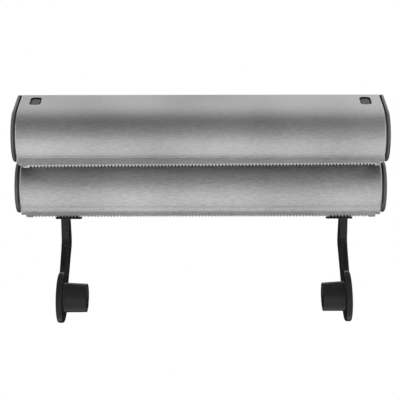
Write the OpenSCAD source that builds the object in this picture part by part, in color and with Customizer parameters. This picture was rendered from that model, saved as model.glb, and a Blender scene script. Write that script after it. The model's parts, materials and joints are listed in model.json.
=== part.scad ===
// Wall-hung wrap dispenser with two steel drums and a towel holder.
// X runs along the drums, Y points to the wall, Z is up.
// The wall is the plane Y = 0 and the two wall screws lie on the X axis.

/* [Upper drum] */
// Distance from the wall to the axis of the upper drum
upper_axis_depth = 77; // [72:1:84]
// Drop of the upper drum's axis below the wall screws
upper_axis_drop = 21; // [18:1:25]
// Outside radius of the upper drum
upper_r = 27; // [25:0.5:30]
// Half the length of the upper steel cover
upper_half = 185.7; // [175:0.1:200]
// Distance from the wall to the ridge between deck and roof
ridge_depth = 44; // [40:1:52]
// Height of the deck above the wall screws
deck_rise = 22.8; // [20:0.1:28]
// Distance from the wall to the back edge of the deck
deck_gap = 7.5; // [7:0.5:9]
// Height of the upper cap's back corner below the wall screws
cap_back_drop = 20; // [12:1:24]
// Set-back of the upper lip behind the front of the drum
upper_lip_back = 12.5; // [9:0.5:15]
// Drop of the upper tooth tips below the drum's axis
upper_lip_drop = 33.6; // [31:0.1:36]

/* [Lower drum] */
// Distance from the wall to the axis of the lower drum
lower_axis_depth = 32; // [31:0.5:34]
// Drop of the lower drum's axis below the wall screws
lower_axis_drop = 72; // [70:1:78]
// Outside radius of the lower drum
lower_r = 26.5; // [25:0.5:27.5]
// Half the length of the lower steel cover
lower_half = 187; // [176:0.1:202]
// Set-back of the lower lip behind the front of the drum
lower_lip_back = 14.5; // [9:0.5:17]
// Drop of the lower tooth tips below the drum's axis
lower_lip_drop = 32.8; // [31:0.1:34]
// Angle up from the wall side at which the lower cover ends
lower_cover_end = 60; // [50:1:75]

/* [Steel sheet] */
// Thickness of the drum covers
sheet_t = 1; // [0.6:0.1:1.2]
// Pitch of the teeth
tooth_pitch = 3.39; // [2.5:0.01:4.5]
// Height of the teeth
tooth_h = 2.4; // [1.5:0.1:3]
// Plain length at each end of the lip, outside the teeth
lip_plain = 13.2; // [10:0.1:18]
// Rise of the lip's ends above the tooth tips
lip_end_rise = 2.6; // [1.5:0.1:3.5]
// Length of the raised end of the lip
lip_end_len = 5; // [3:0.1:7]
// Length of the slope between the raised end and the teeth
lip_slope_len = 3.2; // [1:0.1:5]
// Size of the cut corner at each end of the lip
lip_corner = 2.3; // [1:0.1:3]

/* [End caps] */
// Thickness of an upper cap outside the cover
cap_t = 4.1; // [3:0.1:6]
// Thickness of a lower cap outside the cover
lower_cap_t = 4.8; // [3:0.1:6]
// Dark gap between a cover's end and its cap
cap_gap = 0.6; // [0.3:0.1:1]
// Rounding of a cap's outer edge
cap_round = 2.2; // [1:0.1:2.8]
// Number of steps in an upper cap's straight edges
cap_steps = 4; // [2:1:6]
// Depth of the flange that plugs into the cover
cap_flange = 4.5; // [3:0.1:5]
// Thickness of the flange
flange_t = 2; // [1.5:0.1:3]
// Radius of the boss on a cap round its pin
cap_boss_r = 6; // [5:0.1:6.5]

/* [Hinge and axle] */
// Distance from the wall to the lid's hinge
hinge_depth = 13; // [12.5:0.5:16]
// Height of the lid's hinge above the wall screws
hinge_rise = 13; // [12:0.5:14]
// Radius of the hinge pins
hinge_pin_r = 3; // [2:0.1:3.5]
// Radius of the lower axle pins
axle_pin_r = 4; // [3:0.1:4.5]

/* [Fits] */
// Radial clearance of a turning pin
run_gap = 0.05; // [0.02:0.01:0.1]
// Clearance of sliding and moving pieces
slide_gap = 0.3; // [0.2:0.05:0.5]
// Clearance between pieces that are fixed together
fit_gap = 0.1; // [0.05:0.01:0.2]
// Side clearance between caps and the frame inside
side_gap = 0.9; // [0.5:0.1:1.5]

/* [Frame] */
// Thickness of the wall plate
plate_t = 2; // [1.5:0.1:2.5]
// Height of the wall plate above the wall screws
plate_rise = 8; // [7:0.5:9]
// Distance between the two wall screws
wall_screw_span = 300; // [200:1:320]
// Radius of the wall screw holes
wall_screw_r = 2.5; // [2:0.1:3]
// Thickness of the cheeks and of the lower brackets
cheek_t = 3; // [2.5:0.1:4]
// Radius of an upper cheek round the drum's axis
cheek_r = 17; // [12:0.5:19]
// Radius of a cheek round the lid's hinge
cheek_boss_r = 6.5; // [5.5:0.1:7]
// Angle below the wall side at which a cheek leaves the round of its hinge
cheek_cut = 50; // [46:1:60]
// Radius of a lower bracket round its axle
bracket_boss_r = 9; // [7:0.5:12]
// Width of the feet that sit on the wall plate
foot_w = 12; // [10:0.5:15]
// Thickness of those feet
foot_t = 2.5; // [2:0.1:3]
// Width of the ledges that carry the upper tray
ledge_w = 10; // [8:0.5:14]
// Thickness of those ledges
ledge_t = 2; // [1.5:0.1:3]
// Half the angle that a ledge spans under the tray
ledge_angle = 20; // [12:1:22]

/* [Trays] */
// Clear space between the covers and the trays
tray_gap = 1; // [0.8:0.1:1.5]
// Thickness of the trays
tray_t = 1.2; // [0.8:0.1:1.6]
// Width of the slot that the wrap leaves by
film_slot = 4.5; // [4.2:0.1:6]
// Slope of the upper tray's back wall
tray_slope = 30; // [28:1:40]
// Distance from the wall to the upper tray's back edge
tray_back_gap = 18; // [12:0.5:24]
// Angle below the wall side at which the lower tray ends
lower_tray_end = 38; // [36:1:45]
// Width of the lower tray's flat foot
tray_foot_w = 12; // [10:0.5:14]

/* [Towel rail] */
// Depth of the rail from front to back
rail_w = 28; // [26:0.5:30]
// Height of the rail
rail_h = 6.5; // [6:0.1:7]
// Thickness of the rail's top
rail_top_t = 1.5; // [1:0.1:2]
// Thickness of the rail's lips
rail_lip_t = 1.8; // [1.2:0.1:2.2]
// Thickness of the rail's front and back walls
rail_wall_t = 1.5; // [1:0.1:2]
// Width of the slot between the rail's lips
rail_slot = 10; // [8:0.5:12]
// Space between the wall plate's bottom flange and a bracket's foot
flange_gap = 7.2; // [4:0.1:30]
// Depth of the wall plate's bottom flange
flange_depth = 14.5; // [12:0.5:15]
// Height of the lower tray above the rail
rail_lift = 0.9; // [0.6:0.1:1.2]
// Space left at each end of the rail
rail_end_gap = 0.5; // [0.3:0.1:1]

/* [Towel arms] */
// Distance from the wall to the towel roll's axis
towel_depth = 74; // [70:1:80]
// Drop of the towel roll's axis below the wall screws
towel_drop = 186; // [180:1:195]
// Distance between the outer faces of the two arms
arm_span = 298.6; // [280:0.1:310]
// Shift of both arms to the right, as they stand
arm_shift = 3; // [-5:0.1:5]
// Thickness of the strap
strap_t = 8.4; // [6.5:0.1:10]
// Thickness of the disc
disc_t = 6; // [4.5:0.1:6.4]
// Radius of the disc
disc_r = 25.2; // [22:0.1:28]
// Rounding of the disc's outer edge
disc_round = 1; // [0.5:0.1:3]
// Radius of the hub
hub_r = 14.5; // [12:0.1:17]
// Length of the hub
hub_len = 23.5; // [15:0.5:30]
// Wall of the hollow hub
hub_wall = 2; // [1.5:0.1:3]
// Thickness of the hub's bottom, next to the disc
hub_floor = 3; // [2:0.1:4]
// Length of the foot plate along the rail
foot_len = 26.2; // [22:0.1:32]
// Length of the foot plate outside the strap
foot_out = 5.7; // [3:0.1:7]
// Thickness of the foot plate
foot_plate_t = 1.9; // [1.6:0.1:3]
// Depth of the foot plate from front to back
foot_depth = 28; // [26:0.5:30]
// Space between the foot plate and the lower lip
foot_lip_gap = 1; // [0.8:0.1:1.5]
// Corner radius of the foot plate
foot_corner = 2; // [1:0.1:4]
// Distance from the wall to the strap's front edge at its bend
bend_depth = 35; // [32:1:40]
// Drop of the strap's bend below the wall screws
bend_drop = 130; // [126:1:136]
// Depth of the strap from front to back at its bend
strap_depth = 21.5; // [18:0.5:26]
// Angle on the disc between the strap's middle line and its front edge
neck_front = 3; // [0:1:20]
// Angle on the disc between the strap's middle line and its back edge
neck_back = 28; // [20:1:40]
// Space between the hub and the step at the strap's end, for the roll's core
neck_gap = 6.5; // [5:0.5:8]
// Width of the groove in the strap's front edge
groove_w = 2.4; // [1:0.1:3]
// Depth of that groove
groove_d = 1.2; // [0.6:0.1:2]

/* [Buttons] */
// Space between a button's guide and the cheek beside it
guide_gap = 1.3; // [0.6:0.1:4]
// Distance from the wall to the middle of a button
button_depth = 61.5; // [60:0.5:64]
// Width of a button along the drum
button_w = 10.2; // [8:0.1:11]
// Length of a button from front to back
button_len = 19.5; // [16:0.1:21]
// Corner radius of a button
button_corner = 4.4; // [3:0.1:4.8]
// Gap round a button in the steel
button_gap = 0.6; // [0.4:0.1:0.9]
// Depth of a button's face below the steel
button_sink = 0.5; // [0:0.1:1]
// Thickness of a button at its thin end
button_t = 5; // [4:0.1:6]
// Wall of the guide that a button slides in
guide_wall = 1.5; // [1.2:0.1:1.8]
// Thickness of the guide's floor
guide_floor = 2; // [1.5:0.1:2.5]
// Length of a button's spring
spring_len = 9; // [8:0.1:11]
// Outside radius of the spring
spring_r = 4.2; // [3.9:0.1:4.4]
// Wire thickness of the spring
spring_wire = 0.9; // [0.6:0.1:1]
// Radius of a button's stem
stem_r = 2.5; // [2:0.1:2.7]
// Length of the stem below the guide's floor
stem_tail = 6; // [5:0.1:7]
// Thickness of the retaining clip
clip_t = 1; // [0.8:0.1:1.2]
// Outside radius of the retaining clip
clip_r = 4.6; // [4:0.1:5]
// Thickness of the spring catch
catch_t = 0.8; // [0.6:0.1:1]
// Width of the spring catch
catch_w = 14; // [10:0.5:18]
// Height of the catch's leg on the cheek
catch_leg = 14; // [10:0.5:16]

/* [Fasteners] */
// Radius of a screw's shank
screw_r = 1.5; // [1:0.1:1.8]
// Radius of a screw's head
screw_head_r = 3; // [2.5:0.1:3.2]
// Height of a screw's head
screw_head_t = 1.6; // [1.2:0.1:2]
// Height of a tray rivet's head
rivet_head_t = 0.8; // [0.5:0.1:1]

/* [Part choice] */
// Names of the sub-parts
// Sub-part to draw, or all of them

/* [Hidden] */
$fn = 96;
// Allowance by which cutters pass a face
cut = 1;
// Reach of masks that cover the whole part
far = 400;
steel = [0.72, 0.72, 0.71];
black = [0.1, 0.1, 0.1];
grey = [0.33, 0.34, 0.35];

// Side-view points are written as [y, z]
upper_axis = [-upper_axis_depth, -upper_axis_drop];
lower_axis = [-lower_axis_depth, -lower_axis_drop];
hinge = [-hinge_depth, hinge_rise];
ridge = [-ridge_depth, deck_rise];
cap_back = [-deck_gap, -cap_back_drop];
towel_axis = [-towel_depth, -towel_drop];

// Direction of a point seen from another, and the unit vector at an angle
function way(p, q) = atan2(q[1] - p[1], q[0] - p[0]);
function unit(a) = [cos(a), sin(a)];

// Roof and bottom line both touch the upper drum's circle
roof_a = way(upper_axis, ridge) + acos(upper_r / norm(ridge - upper_axis));
under_a = way(upper_axis, cap_back) - acos(upper_r / norm(cap_back - upper_axis));
roof_n = unit(roof_a);
under_n = unit(under_a);

// Depth by which straight lines end inside the round that they run into
dip = 0.04;
// Corners of the upper drum's outline, moved in by i
function roof_foot(i) = upper_axis + (upper_r - i - dip) * roof_n;
function ridge_in(i) = [
    (roof_n * ridge - i - roof_n[1] * (deck_rise - i)) / roof_n[0],
    deck_rise - i];
function deck_back(i) = [-deck_gap - i, deck_rise - i];
function back_low(i) = [
    -deck_gap - i,
    (under_n * cap_back - i + under_n[0] * (deck_gap + i)) / under_n[1]];
function under_foot(i) = upper_axis + (upper_r - i - dip) * under_n;
// Height of the roof's outer face at depth d
function roof_z(d) = (roof_n * ridge + roof_n[0] * d) / roof_n[1];

upper_lip_y = -upper_axis_depth - upper_r + upper_lip_back;
lower_lip_y = -lower_axis_depth - lower_r + lower_lip_back;
upper_tip_z = -upper_axis_drop - upper_lip_drop;
lower_tip_z = -lower_axis_drop - lower_lip_drop;

// Height at which the upper lip leaves the round of the drum
upper_lip_top = -upper_axis_drop
    - sqrt(pow(upper_r - sheet_t, 2) - pow(upper_r - upper_lip_back - sheet_t, 2));
lower_lip_top = -lower_axis_drop
    - sqrt(pow(lower_r - sheet_t, 2) - pow(lower_r - lower_lip_back - sheet_t, 2));

upper_cap_x = upper_half + cap_gap;
lower_cap_x = lower_half + cap_gap;
cheek_x = upper_cap_x - cap_flange - side_gap - cheek_t;
bracket_x = lower_cap_x - cap_flange - side_gap - cheek_t;
plate_half = max(cheek_x, bracket_x) + cheek_t;
flange_half = bracket_x - foot_w - flange_gap;

upper_tray_r = upper_r - sheet_t - tray_gap;
lower_tray_r = lower_r - sheet_t - tray_gap;
upper_tray_y = upper_lip_y + sheet_t + film_slot;
lower_tray_y = lower_lip_y + sheet_t + film_slot;
upper_tray_back = upper_axis + upper_tray_r * unit(tray_slope - 90);
tray_run = -tray_back_gap - upper_tray_back[0];

rail_half = bracket_x - rail_end_gap;
rail_y = lower_tray_y;
rail_top_z = -lower_axis_drop - lower_tray_r - rail_lift;
rail_low_z = rail_top_z - rail_h;
rail_in_z = rail_top_z - rail_top_t;
rail_lip_z = rail_low_z + rail_lip_t;
rail_mid_y = rail_y + rail_w / 2;
rail_tongue_y = -plate_t - slide_gap;

foot_top_z = rail_low_z - slide_gap;
foot_low_z = foot_top_z - foot_plate_t;
foot_front_y = lower_lip_y + sheet_t + foot_lip_gap;

guide_top_z = roof_z(button_depth);
button_drop = tan(roof_a - 90) * button_len / 2;
button_low_z = guide_top_z - button_drop - button_sink / roof_n[1] - button_t;
guide_floor_z = button_low_z - spring_len;
guide_low_z = guide_floor_z - guide_floor;
stem_low_z = guide_low_z - stem_tail;
guide_w = button_w + 2 * slide_gap + 2 * guide_wall;
button_x = cheek_x - guide_w / 2 - guide_gap;
guide_len = button_len + 2 * slide_gap + 2 * guide_wall;

// Draws a side view and runs it along X from x0 to x1
module along_x(x0, x1) {
    translate([x0, 0, 0])
        rotate([90, 0, 90])
            linear_extrude(x1 - x0)
                children();
}

// Turns a shape drawn round Z so that it lies round X, pointing to +X
module round_x(x0, p) {
    translate([x0, p[0], p[1]])
        rotate([0, 90, 0])
            children();
}

// Mirrors a right-hand piece to the left
module left() {
    mirror([1, 0, 0])
        children();
}

// Rectangle with rounded corners, centred
module rounded(w, l, r) {
    square([w - 2 * r, l], center = true);
    square([w, l - 2 * r], center = true);
    for (sx = [-1, 1], sy = [-1, 1])
        translate([sx * (w / 2 - r), sy * (l / 2 - r)])
            circle(r);
}

// Side outline of the upper drum, moved in by i
module upper_outline(i) {
    translate(upper_axis)
        circle(upper_r - i);
    polygon([upper_axis, roof_foot(i), ridge_in(i), deck_back(i), back_low(i), under_foot(i)]);
}

// Part of the side view that the upper steel covers
module upper_steel_side() {
    polygon([
        [-deck_gap, deck_rise + cut],
        [-far, deck_rise + cut],
        [-far, -far],
        [upper_lip_y + sheet_t, -far],
        [upper_lip_y + sheet_t, -upper_axis_drop],
        roof_foot(sheet_t + flange_t + 2 * fit_gap),
        ridge_in(sheet_t + flange_t + 2 * fit_gap),
        deck_back(sheet_t + flange_t + 2 * fit_gap) + [sheet_t + flange_t + 2 * fit_gap, 0]]);
}

// Layer of the upper drum between two insets, where the steel runs
module upper_layer(i0, i1) {
    intersection() {
        difference() {
            upper_outline(i0);
            upper_outline(i1);
        }
        upper_steel_side();
    }
}

// Layer of the lower drum between two insets, where the steel runs
module lower_layer(i0, i1) {
    intersection() {
        translate(lower_axis)
            difference() {
                circle(lower_r - i0);
                circle(lower_r - i1);
            }
        polygon([
            lower_axis,
            lower_axis + far * unit(lower_cover_end),
            [-far, far],
            [-far, -far],
            [lower_lip_y + sheet_t, -far],
            [lower_lip_y + sheet_t, -lower_axis_drop]]);
    }
}

// Toothed lip, seen from the front
module lip_face(half, top_z, tip_z) {
    end_z = tip_z + lip_end_rise;
    toothed = half - lip_plain;
    steps = floor(2 * toothed / tooth_pitch);
    x0 = -steps * tooth_pitch / 2;
    left_end = [
        [-half, top_z],
        [-half, end_z + lip_corner],
        [-half + lip_corner, end_z],
        [-half + lip_end_len, end_z],
        [-half + lip_end_len + lip_slope_len, tip_z]];
    teeth = [for (k = [0 : steps], s = [0, 1])
        s == 0
            ? [x0 + (k - 0.5) * tooth_pitch, tip_z]
            : [x0 + k * tooth_pitch, tip_z + tooth_h]];
    right_tip = [[x0 + (steps + 0.5) * tooth_pitch, tip_z]];
    right_end = [for (k = [4 : -1 : 0]) [-left_end[k][0], left_end[k][1]]];
    polygon(concat(left_end, teeth, right_tip, right_end));
}

// Toothed lip as a sheet whose outer face lies at depth y
module lip(half, y, top_z, tip_z) {
    translate([0, y + sheet_t, 0])
        rotate([90, 0, 0])
            linear_extrude(sheet_t)
                lip_face(half, top_z, tip_z);
}

// Screw with its head's seat at the origin, pointing to -Z
module screw(len) {
    cylinder(h = screw_head_t, r = screw_head_r);
    translate([0, 0, -len])
        cylinder(h = len + screw_head_t / 2, r = screw_r);
}

// Hole for a screw at the origin, along Z
module screw_hole(len) {
    translate([0, 0, -len])
        cylinder(h = 2 * len, r = screw_r + fit_gap);
}

// Places of the screws in the frame's right half
cheek_screw_x = cheek_x - foot_w / 2;
cheek_screw_z = [-upper_axis_drop + cheek_r / 2, -upper_axis_drop - cheek_r / 2];
bracket_screw_x = bracket_x - foot_w / 2;
bracket_foot_top = -lower_axis_drop - lower_r * sin(lower_tray_end);
bracket_screw_z = [bracket_foot_top - screw_head_r - cut, rail_top_z - cut];
rail_screw_x = [flange_half / 3, flange_half - screw_head_r - 2 * cut];
rail_screw_y = -plate_t - flange_depth / 2;
tray_screw_x = cheek_x - ledge_w / 2;
tray_seat_z = -upper_axis_drop - upper_tray_r + tray_t + 2 * fit_gap;
rivet_len = rail_top_t + rail_lift + tray_t + 2 * fit_gap;
rivet_x = [flange_half / 2, rail_half - 4 * screw_head_r];

// Turns a screw so that it points to the wall
module to_wall(x, y, z) {
    translate([x, y, z])
        rotate([90, 0, 0])
            children();
}

module wall_plate() {
    color(steel)
        difference() {
            union() {
                along_x(-plate_half, plate_half)
                    polygon([
                        [-plate_t, rail_low_z],
                        [0, rail_low_z],
                        [0, plate_rise],
                        [-plate_t, plate_rise]]);
                along_x(-flange_half, flange_half)
                    polygon([
                        [-plate_t - flange_depth, rail_top_z],
                        [-plate_t / 2, rail_top_z],
                        [-plate_t / 2, rail_top_z + plate_t],
                        [-plate_t - flange_depth, rail_top_z + plate_t]]);
            }
            for (s = [-1, 1]) {
                to_wall(s * wall_screw_span / 2, cut, 0)
                    cylinder(h = plate_t + 2 * cut, r = wall_screw_r);
                for (z = cheek_screw_z)
                    to_wall(s * cheek_screw_x, 0, z)
                        screw_hole(2 * plate_t);
                for (z = bracket_screw_z)
                    to_wall(s * bracket_screw_x, 0, z)
                        screw_hole(2 * plate_t);
                for (x = rail_screw_x)
                    translate([s * x, rail_screw_y, rail_top_z])
                        screw_hole(2 * plate_t);
            }
        }
}

module right_cheek() {
    color(black)
        difference() {
            union() {
                along_x(cheek_x, cheek_x + cheek_t) {
                    translate(upper_axis)
                        circle(cheek_r);
                    translate(hinge)
                        circle(cheek_boss_r);
                    polygon([
                        [-plate_t, -upper_axis_drop - cheek_r],
                        [-plate_t, hinge_rise - hinge_depth - cut],
                        hinge + (cheek_boss_r - dip) * unit(-cheek_cut),
                        hinge + [0, cheek_boss_r],
                        upper_axis + [0, cheek_r],
                        upper_axis - [0, cheek_r]]);
                    ledge_sector(0);
                }
                along_x(cheek_x - ledge_w, cheek_x + cheek_t / 2)
                    ledge_sector(upper_tray_r + fit_gap);
                along_x(cheek_x - foot_w, cheek_x + cheek_t / 2)
                    polygon([
                        [-plate_t - foot_t, -upper_axis_drop - cheek_r],
                        [-plate_t, -upper_axis_drop - cheek_r],
                        [-plate_t, -upper_axis_drop + cheek_r],
                        [-plate_t - foot_t, -upper_axis_drop + cheek_r]]);
            }
            round_x(cheek_x - cut, hinge)
                cylinder(h = cheek_t + 2 * cut, r = hinge_pin_r + fit_gap);
            for (z = cheek_screw_z)
                to_wall(cheek_screw_x, -plate_t, z)
                    screw_hole(2 * foot_t);
            translate([tray_screw_x, -upper_axis_depth, -upper_axis_drop - upper_tray_r])
                screw_hole(2 * tray_t + 2 * ledge_t);
        }
}

// Side view of the sector under the upper tray, from radius r0 out
module ledge_sector(r0) {
    intersection() {
        translate(upper_axis)
            difference() {
                circle(upper_tray_r + ledge_t);
                circle(r0);
            }
        polygon([
            upper_axis,
            upper_axis + far * unit(270 - ledge_angle),
            upper_axis + far * unit(270 + ledge_angle)]);
    }
}

module left_cheek() {
    left()
        right_cheek();
}

module hinge_pins() {
    color(steel)
        for (s = [0, 1])
            mirror([s, 0, 0])
                round_x(cheek_x - cut, hinge)
                    cylinder(h = upper_cap_x - cheek_x + cut - slide_gap, r = hinge_pin_r);
}

module upper_tray() {
    color(grey)
        difference() {
            along_x(-cheek_x + fit_gap, cheek_x - fit_gap) {
                intersection() {
                    translate(upper_axis)
                        difference() {
                            circle(upper_tray_r);
                            circle(upper_tray_r - tray_t);
                        }
                    polygon([
                        upper_axis,
                        [upper_tray_y, -upper_axis_drop],
                        [upper_tray_y, -far],
                        upper_axis + far * unit(tray_slope - 90)]);
                }
                translate(upper_tray_back)
                    rotate(tray_slope)
                        translate([-fit_gap, 0])
                            square([tray_run / cos(tray_slope), tray_t]);
            }
            for (s = [-1, 1])
                translate([s * tray_screw_x, -upper_axis_depth, -upper_axis_drop - upper_tray_r])
                    screw_hole(2 * tray_t);
        }
}

module right_bracket() {
    color(black)
        difference() {
            union() {
                along_x(bracket_x, bracket_x + cheek_t) {
                    translate(lower_axis)
                        circle(bracket_boss_r);
                    polygon([
                        lower_axis + [-bracket_boss_r, 0],
                        lower_axis + [bracket_boss_r, 0],
                        lower_axis + lower_tray_r * unit(270 + lower_tray_end / 2),
                        [-plate_t, bracket_foot_top],
                        [-plate_t, rail_low_z],
                        [rail_y, rail_low_z],
                        [rail_y, rail_top_z + rail_h]]);
                }
                along_x(bracket_x - foot_w, bracket_x + cheek_t / 2)
                    polygon([
                        [-plate_t - foot_t, rail_low_z],
                        [-plate_t, rail_low_z],
                        [-plate_t, bracket_foot_top],
                        [-plate_t - foot_t, bracket_foot_top]]);
            }
            round_x(bracket_x - cut, lower_axis)
                cylinder(h = cheek_t + 2 * cut, r = axle_pin_r + fit_gap);
            for (z = bracket_screw_z)
                to_wall(bracket_screw_x, -plate_t, z)
                    screw_hole(2 * foot_t);
        }
}

module left_bracket() {
    left()
        right_bracket();
}

module axle_pins() {
    color(steel)
        for (s = [0, 1])
            mirror([s, 0, 0])
                round_x(bracket_x - cut, lower_axis)
                    cylinder(h = lower_cap_x - bracket_x + cut - slide_gap, r = axle_pin_r);
}

module lower_tray() {
    color(grey)
        difference() {
            along_x(-rail_half, rail_half) {
                intersection() {
                    translate(lower_axis)
                        difference() {
                            circle(lower_tray_r);
                            circle(lower_tray_r - tray_t);
                        }
                    polygon([
                        lower_axis,
                        [lower_tray_y, -lower_axis_drop],
                        [lower_tray_y, -far],
                        lower_axis + far * unit(-lower_tray_end)]);
                }
                translate([-lower_axis_depth - tray_foot_w / 2, rail_top_z])
                    square([tray_foot_w, rail_lift + tray_t / 2]);
            }
            for (s = [-1, 1], x = rivet_x)
                translate([s * x, -lower_axis_depth, rail_top_z])
                    screw_hole(2 * tray_t + 2 * rail_lift);
        }
}

module towel_rail() {
    color(steel)
        difference() {
            union() {
                along_x(-rail_half, rail_half)
                    difference() {
                        translate([rail_y, rail_low_z])
                            square([rail_w, rail_h]);
                        translate([rail_y + rail_wall_t, rail_lip_z])
                            square([rail_w - 2 * rail_wall_t, rail_in_z - rail_lip_z]);
                        translate([rail_mid_y - rail_slot / 2, rail_low_z - cut])
                            square([rail_slot, rail_h]);
                    }
                along_x(-flange_half, flange_half)
                    polygon([
                        [rail_y + rail_w / 2, rail_in_z],
                        [rail_tongue_y, rail_in_z],
                        [rail_tongue_y, rail_top_z],
                        [rail_y + rail_w / 2, rail_top_z]]);
            }
            for (s = [-1, 1]) {
                for (x = rail_screw_x)
                    translate([s * x, rail_screw_y, rail_top_z])
                        screw_hole(2 * rail_top_t);
                for (x = rivet_x)
                    translate([s * x, -lower_axis_depth, rail_top_z])
                        screw_hole(2 * rail_top_t);
            }
        }
}

module right_catch() {
    catch_x = button_x + clip_r + slide_gap;
    step_z = guide_low_z - stem_tail / 2;
    color(steel)
        translate([0, -button_depth + catch_w / 2, 0])
            rotate([90, 0, 0])
                linear_extrude(catch_w)
                    polygon([
                        [cheek_x - catch_t, step_z - catch_leg],
                        [cheek_x, step_z - catch_leg],
                        [cheek_x, step_z],
                        [catch_x + catch_t, step_z],
                        [catch_x + catch_t, guide_low_z - slide_gap],
                        [catch_x, guide_low_z - slide_gap],
                        [catch_x, step_z - catch_t],
                        [cheek_x - catch_t, step_z - catch_t]]);
}

module left_catch() {
    left()
        right_catch();
}

module cheek_screws() {
    color(steel)
        for (s = [-1, 1], z = cheek_screw_z)
            to_wall(s * cheek_screw_x, -plate_t - foot_t, z)
                screw(plate_t + foot_t);
}

module bracket_screws() {
    color(steel)
        for (s = [-1, 1], z = bracket_screw_z)
            to_wall(s * bracket_screw_x, -plate_t - foot_t, z)
                screw(plate_t + foot_t);
}

module rail_screws() {
    color(steel)
        for (s = [-1, 1], x = rail_screw_x)
            translate([s * x, rail_screw_y, rail_top_z + plate_t])
                screw(plate_t + rail_top_t);
}

module tray_screws() {
    color(steel)
        for (s = [-1, 1])
            translate([s * tray_screw_x, -upper_axis_depth, tray_seat_z])
                screw(tray_t + ledge_t);
}

module tray_rivets() {
    color(steel)
        for (s = [-1, 1], x = rivet_x)
            translate([s * x, -lower_axis_depth, rail_in_z]) {
                cylinder(h = rivet_len + rivet_head_t / 2, r = screw_r);
                translate([0, 0, rivet_len])
                    cylinder(h = rivet_head_t, r = screw_head_r);
            }
}

module upper_cover() {
    color(steel)
        difference() {
            union() {
                along_x(-upper_half, upper_half)
                    upper_layer(0, sheet_t);
                lip(upper_half, upper_lip_y, upper_lip_top, upper_tip_z);
            }
            for (s = [-1, 1])
                translate([s * button_x, -button_depth, guide_floor_z])
                    linear_extrude(far)
                        rounded(button_w + 2 * button_gap, button_len + 2 * button_gap,
                            button_corner + button_gap);
        }
}

// Outside plate of an upper cap: its straight edges step in, its round edge is a true ring
module upper_cap_plate() {
    x_round = upper_cap_x + cap_t - cap_round;
    step = cap_round / cap_steps;
    along_x(upper_cap_x, x_round)
        upper_outline(0);
    for (k = [1 : cap_steps])
        along_x(x_round - cut / 2, x_round + k * step)
            upper_outline(cap_round - sqrt(pow(cap_round, 2) - pow((k - 0.5) * step, 2)));
    round_x(x_round, upper_axis)
        rotate_extrude()
            translate([upper_r - cap_round, 0])
                circle(cap_round - fit_gap / 2);
}

// Guide of a button, hanging from the shelf under the roof
module button_guide() {
    intersection() {
        translate([button_x, -button_depth, guide_low_z])
            linear_extrude(far)
                difference() {
                    square([guide_w, guide_len], center = true);
                    rounded(button_w + 2 * slide_gap, button_len + 2 * slide_gap,
                        button_corner + slide_gap);
                }
        along_x(0, far)
            upper_outline(sheet_t + fit_gap);
    }
    translate([button_x, -button_depth, guide_low_z])
        linear_extrude(guide_floor)
            difference() {
                square([guide_w, guide_len], center = true);
                circle(stem_r + slide_gap);
            }
}

// Shelf under the roof that carries the guide
module guide_shelf() {
    difference() {
        along_x(button_x, upper_cap_x)
            intersection() {
                upper_layer(sheet_t + fit_gap, sheet_t + fit_gap + flange_t);
                translate([-button_depth - guide_len / 2, guide_low_z])
                    square([guide_len, far]);
            }
        translate([button_x, -button_depth, guide_low_z])
            linear_extrude(far)
                rounded(button_w + 2 * slide_gap, button_len + 2 * slide_gap,
                    button_corner + slide_gap);
    }
}

module upper_right_cap() {
    color(black)
        difference() {
            union() {
                upper_cap_plate();
                along_x(upper_cap_x - cap_flange, upper_cap_x + cut)
                    upper_layer(sheet_t + fit_gap, sheet_t + fit_gap + flange_t);
                round_x(upper_cap_x - cap_flange, hinge)
                    cylinder(h = cap_flange + cut, r = cap_boss_r);
                button_guide();
                guide_shelf();
            }
            round_x(upper_cap_x - cap_flange - cut, hinge)
                cylinder(h = cap_flange + cut, r = hinge_pin_r + run_gap);
        }
}

module upper_left_cap() {
    left()
        upper_right_cap();
}

module lower_cover() {
    color(steel) {
        along_x(-lower_half, lower_half)
            lower_layer(0, sheet_t);
        lip(lower_half, lower_lip_y, lower_lip_top, lower_tip_z);
    }
}

module lower_right_cap() {
    color(black)
        difference() {
            union() {
                round_x(lower_cap_x, lower_axis)
                    rotate_extrude() {
                        square([lower_r - cap_round, lower_cap_t]);
                        square([lower_r, lower_cap_t - cap_round]);
                        translate([lower_r - cap_round, lower_cap_t - cap_round])
                            circle(cap_round);
                    }
                along_x(lower_cap_x - cap_flange, lower_cap_x + cut)
                    lower_layer(sheet_t + fit_gap, sheet_t + fit_gap + flange_t);
                round_x(lower_cap_x - cap_flange, lower_axis)
                    cylinder(h = cap_flange + cut, r = cap_boss_r);
            }
            round_x(lower_cap_x - cap_flange - cut, lower_axis)
                cylinder(h = cap_flange + cut, r = axle_pin_r + run_gap);
        }
}

module lower_left_cap() {
    left()
        lower_right_cap();
}

module right_button() {
    color(grey) {
        intersection() {
            translate([button_x, -button_depth, button_low_z])
                linear_extrude(far)
                    rounded(button_w, button_len, button_corner);
            along_x(0, far)
                upper_outline(button_sink);
        }
        translate([button_x, -button_depth, stem_low_z])
            cylinder(h = button_low_z - stem_low_z + cut, r = stem_r);
    }
}

module left_button() {
    left()
        right_button();
}

module right_spring() {
    color(steel)
        translate([button_x, -button_depth, guide_floor_z])
            difference() {
                cylinder(h = spring_len, r = spring_r);
                translate([0, 0, -cut])
                    cylinder(h = spring_len + 2 * cut, r = spring_r - spring_wire);
            }
}

module left_spring() {
    left()
        right_spring();
}

module right_clip() {
    color(steel)
        translate([button_x, -button_depth, guide_low_z - slide_gap - clip_t])
            difference() {
                cylinder(h = clip_t, r = clip_r);
                translate([0, 0, -cut])
                    cylinder(h = clip_t + 2 * cut, r = stem_r + fit_gap / 2);
            }
}

module left_clip() {
    left()
        right_clip();
}

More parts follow.
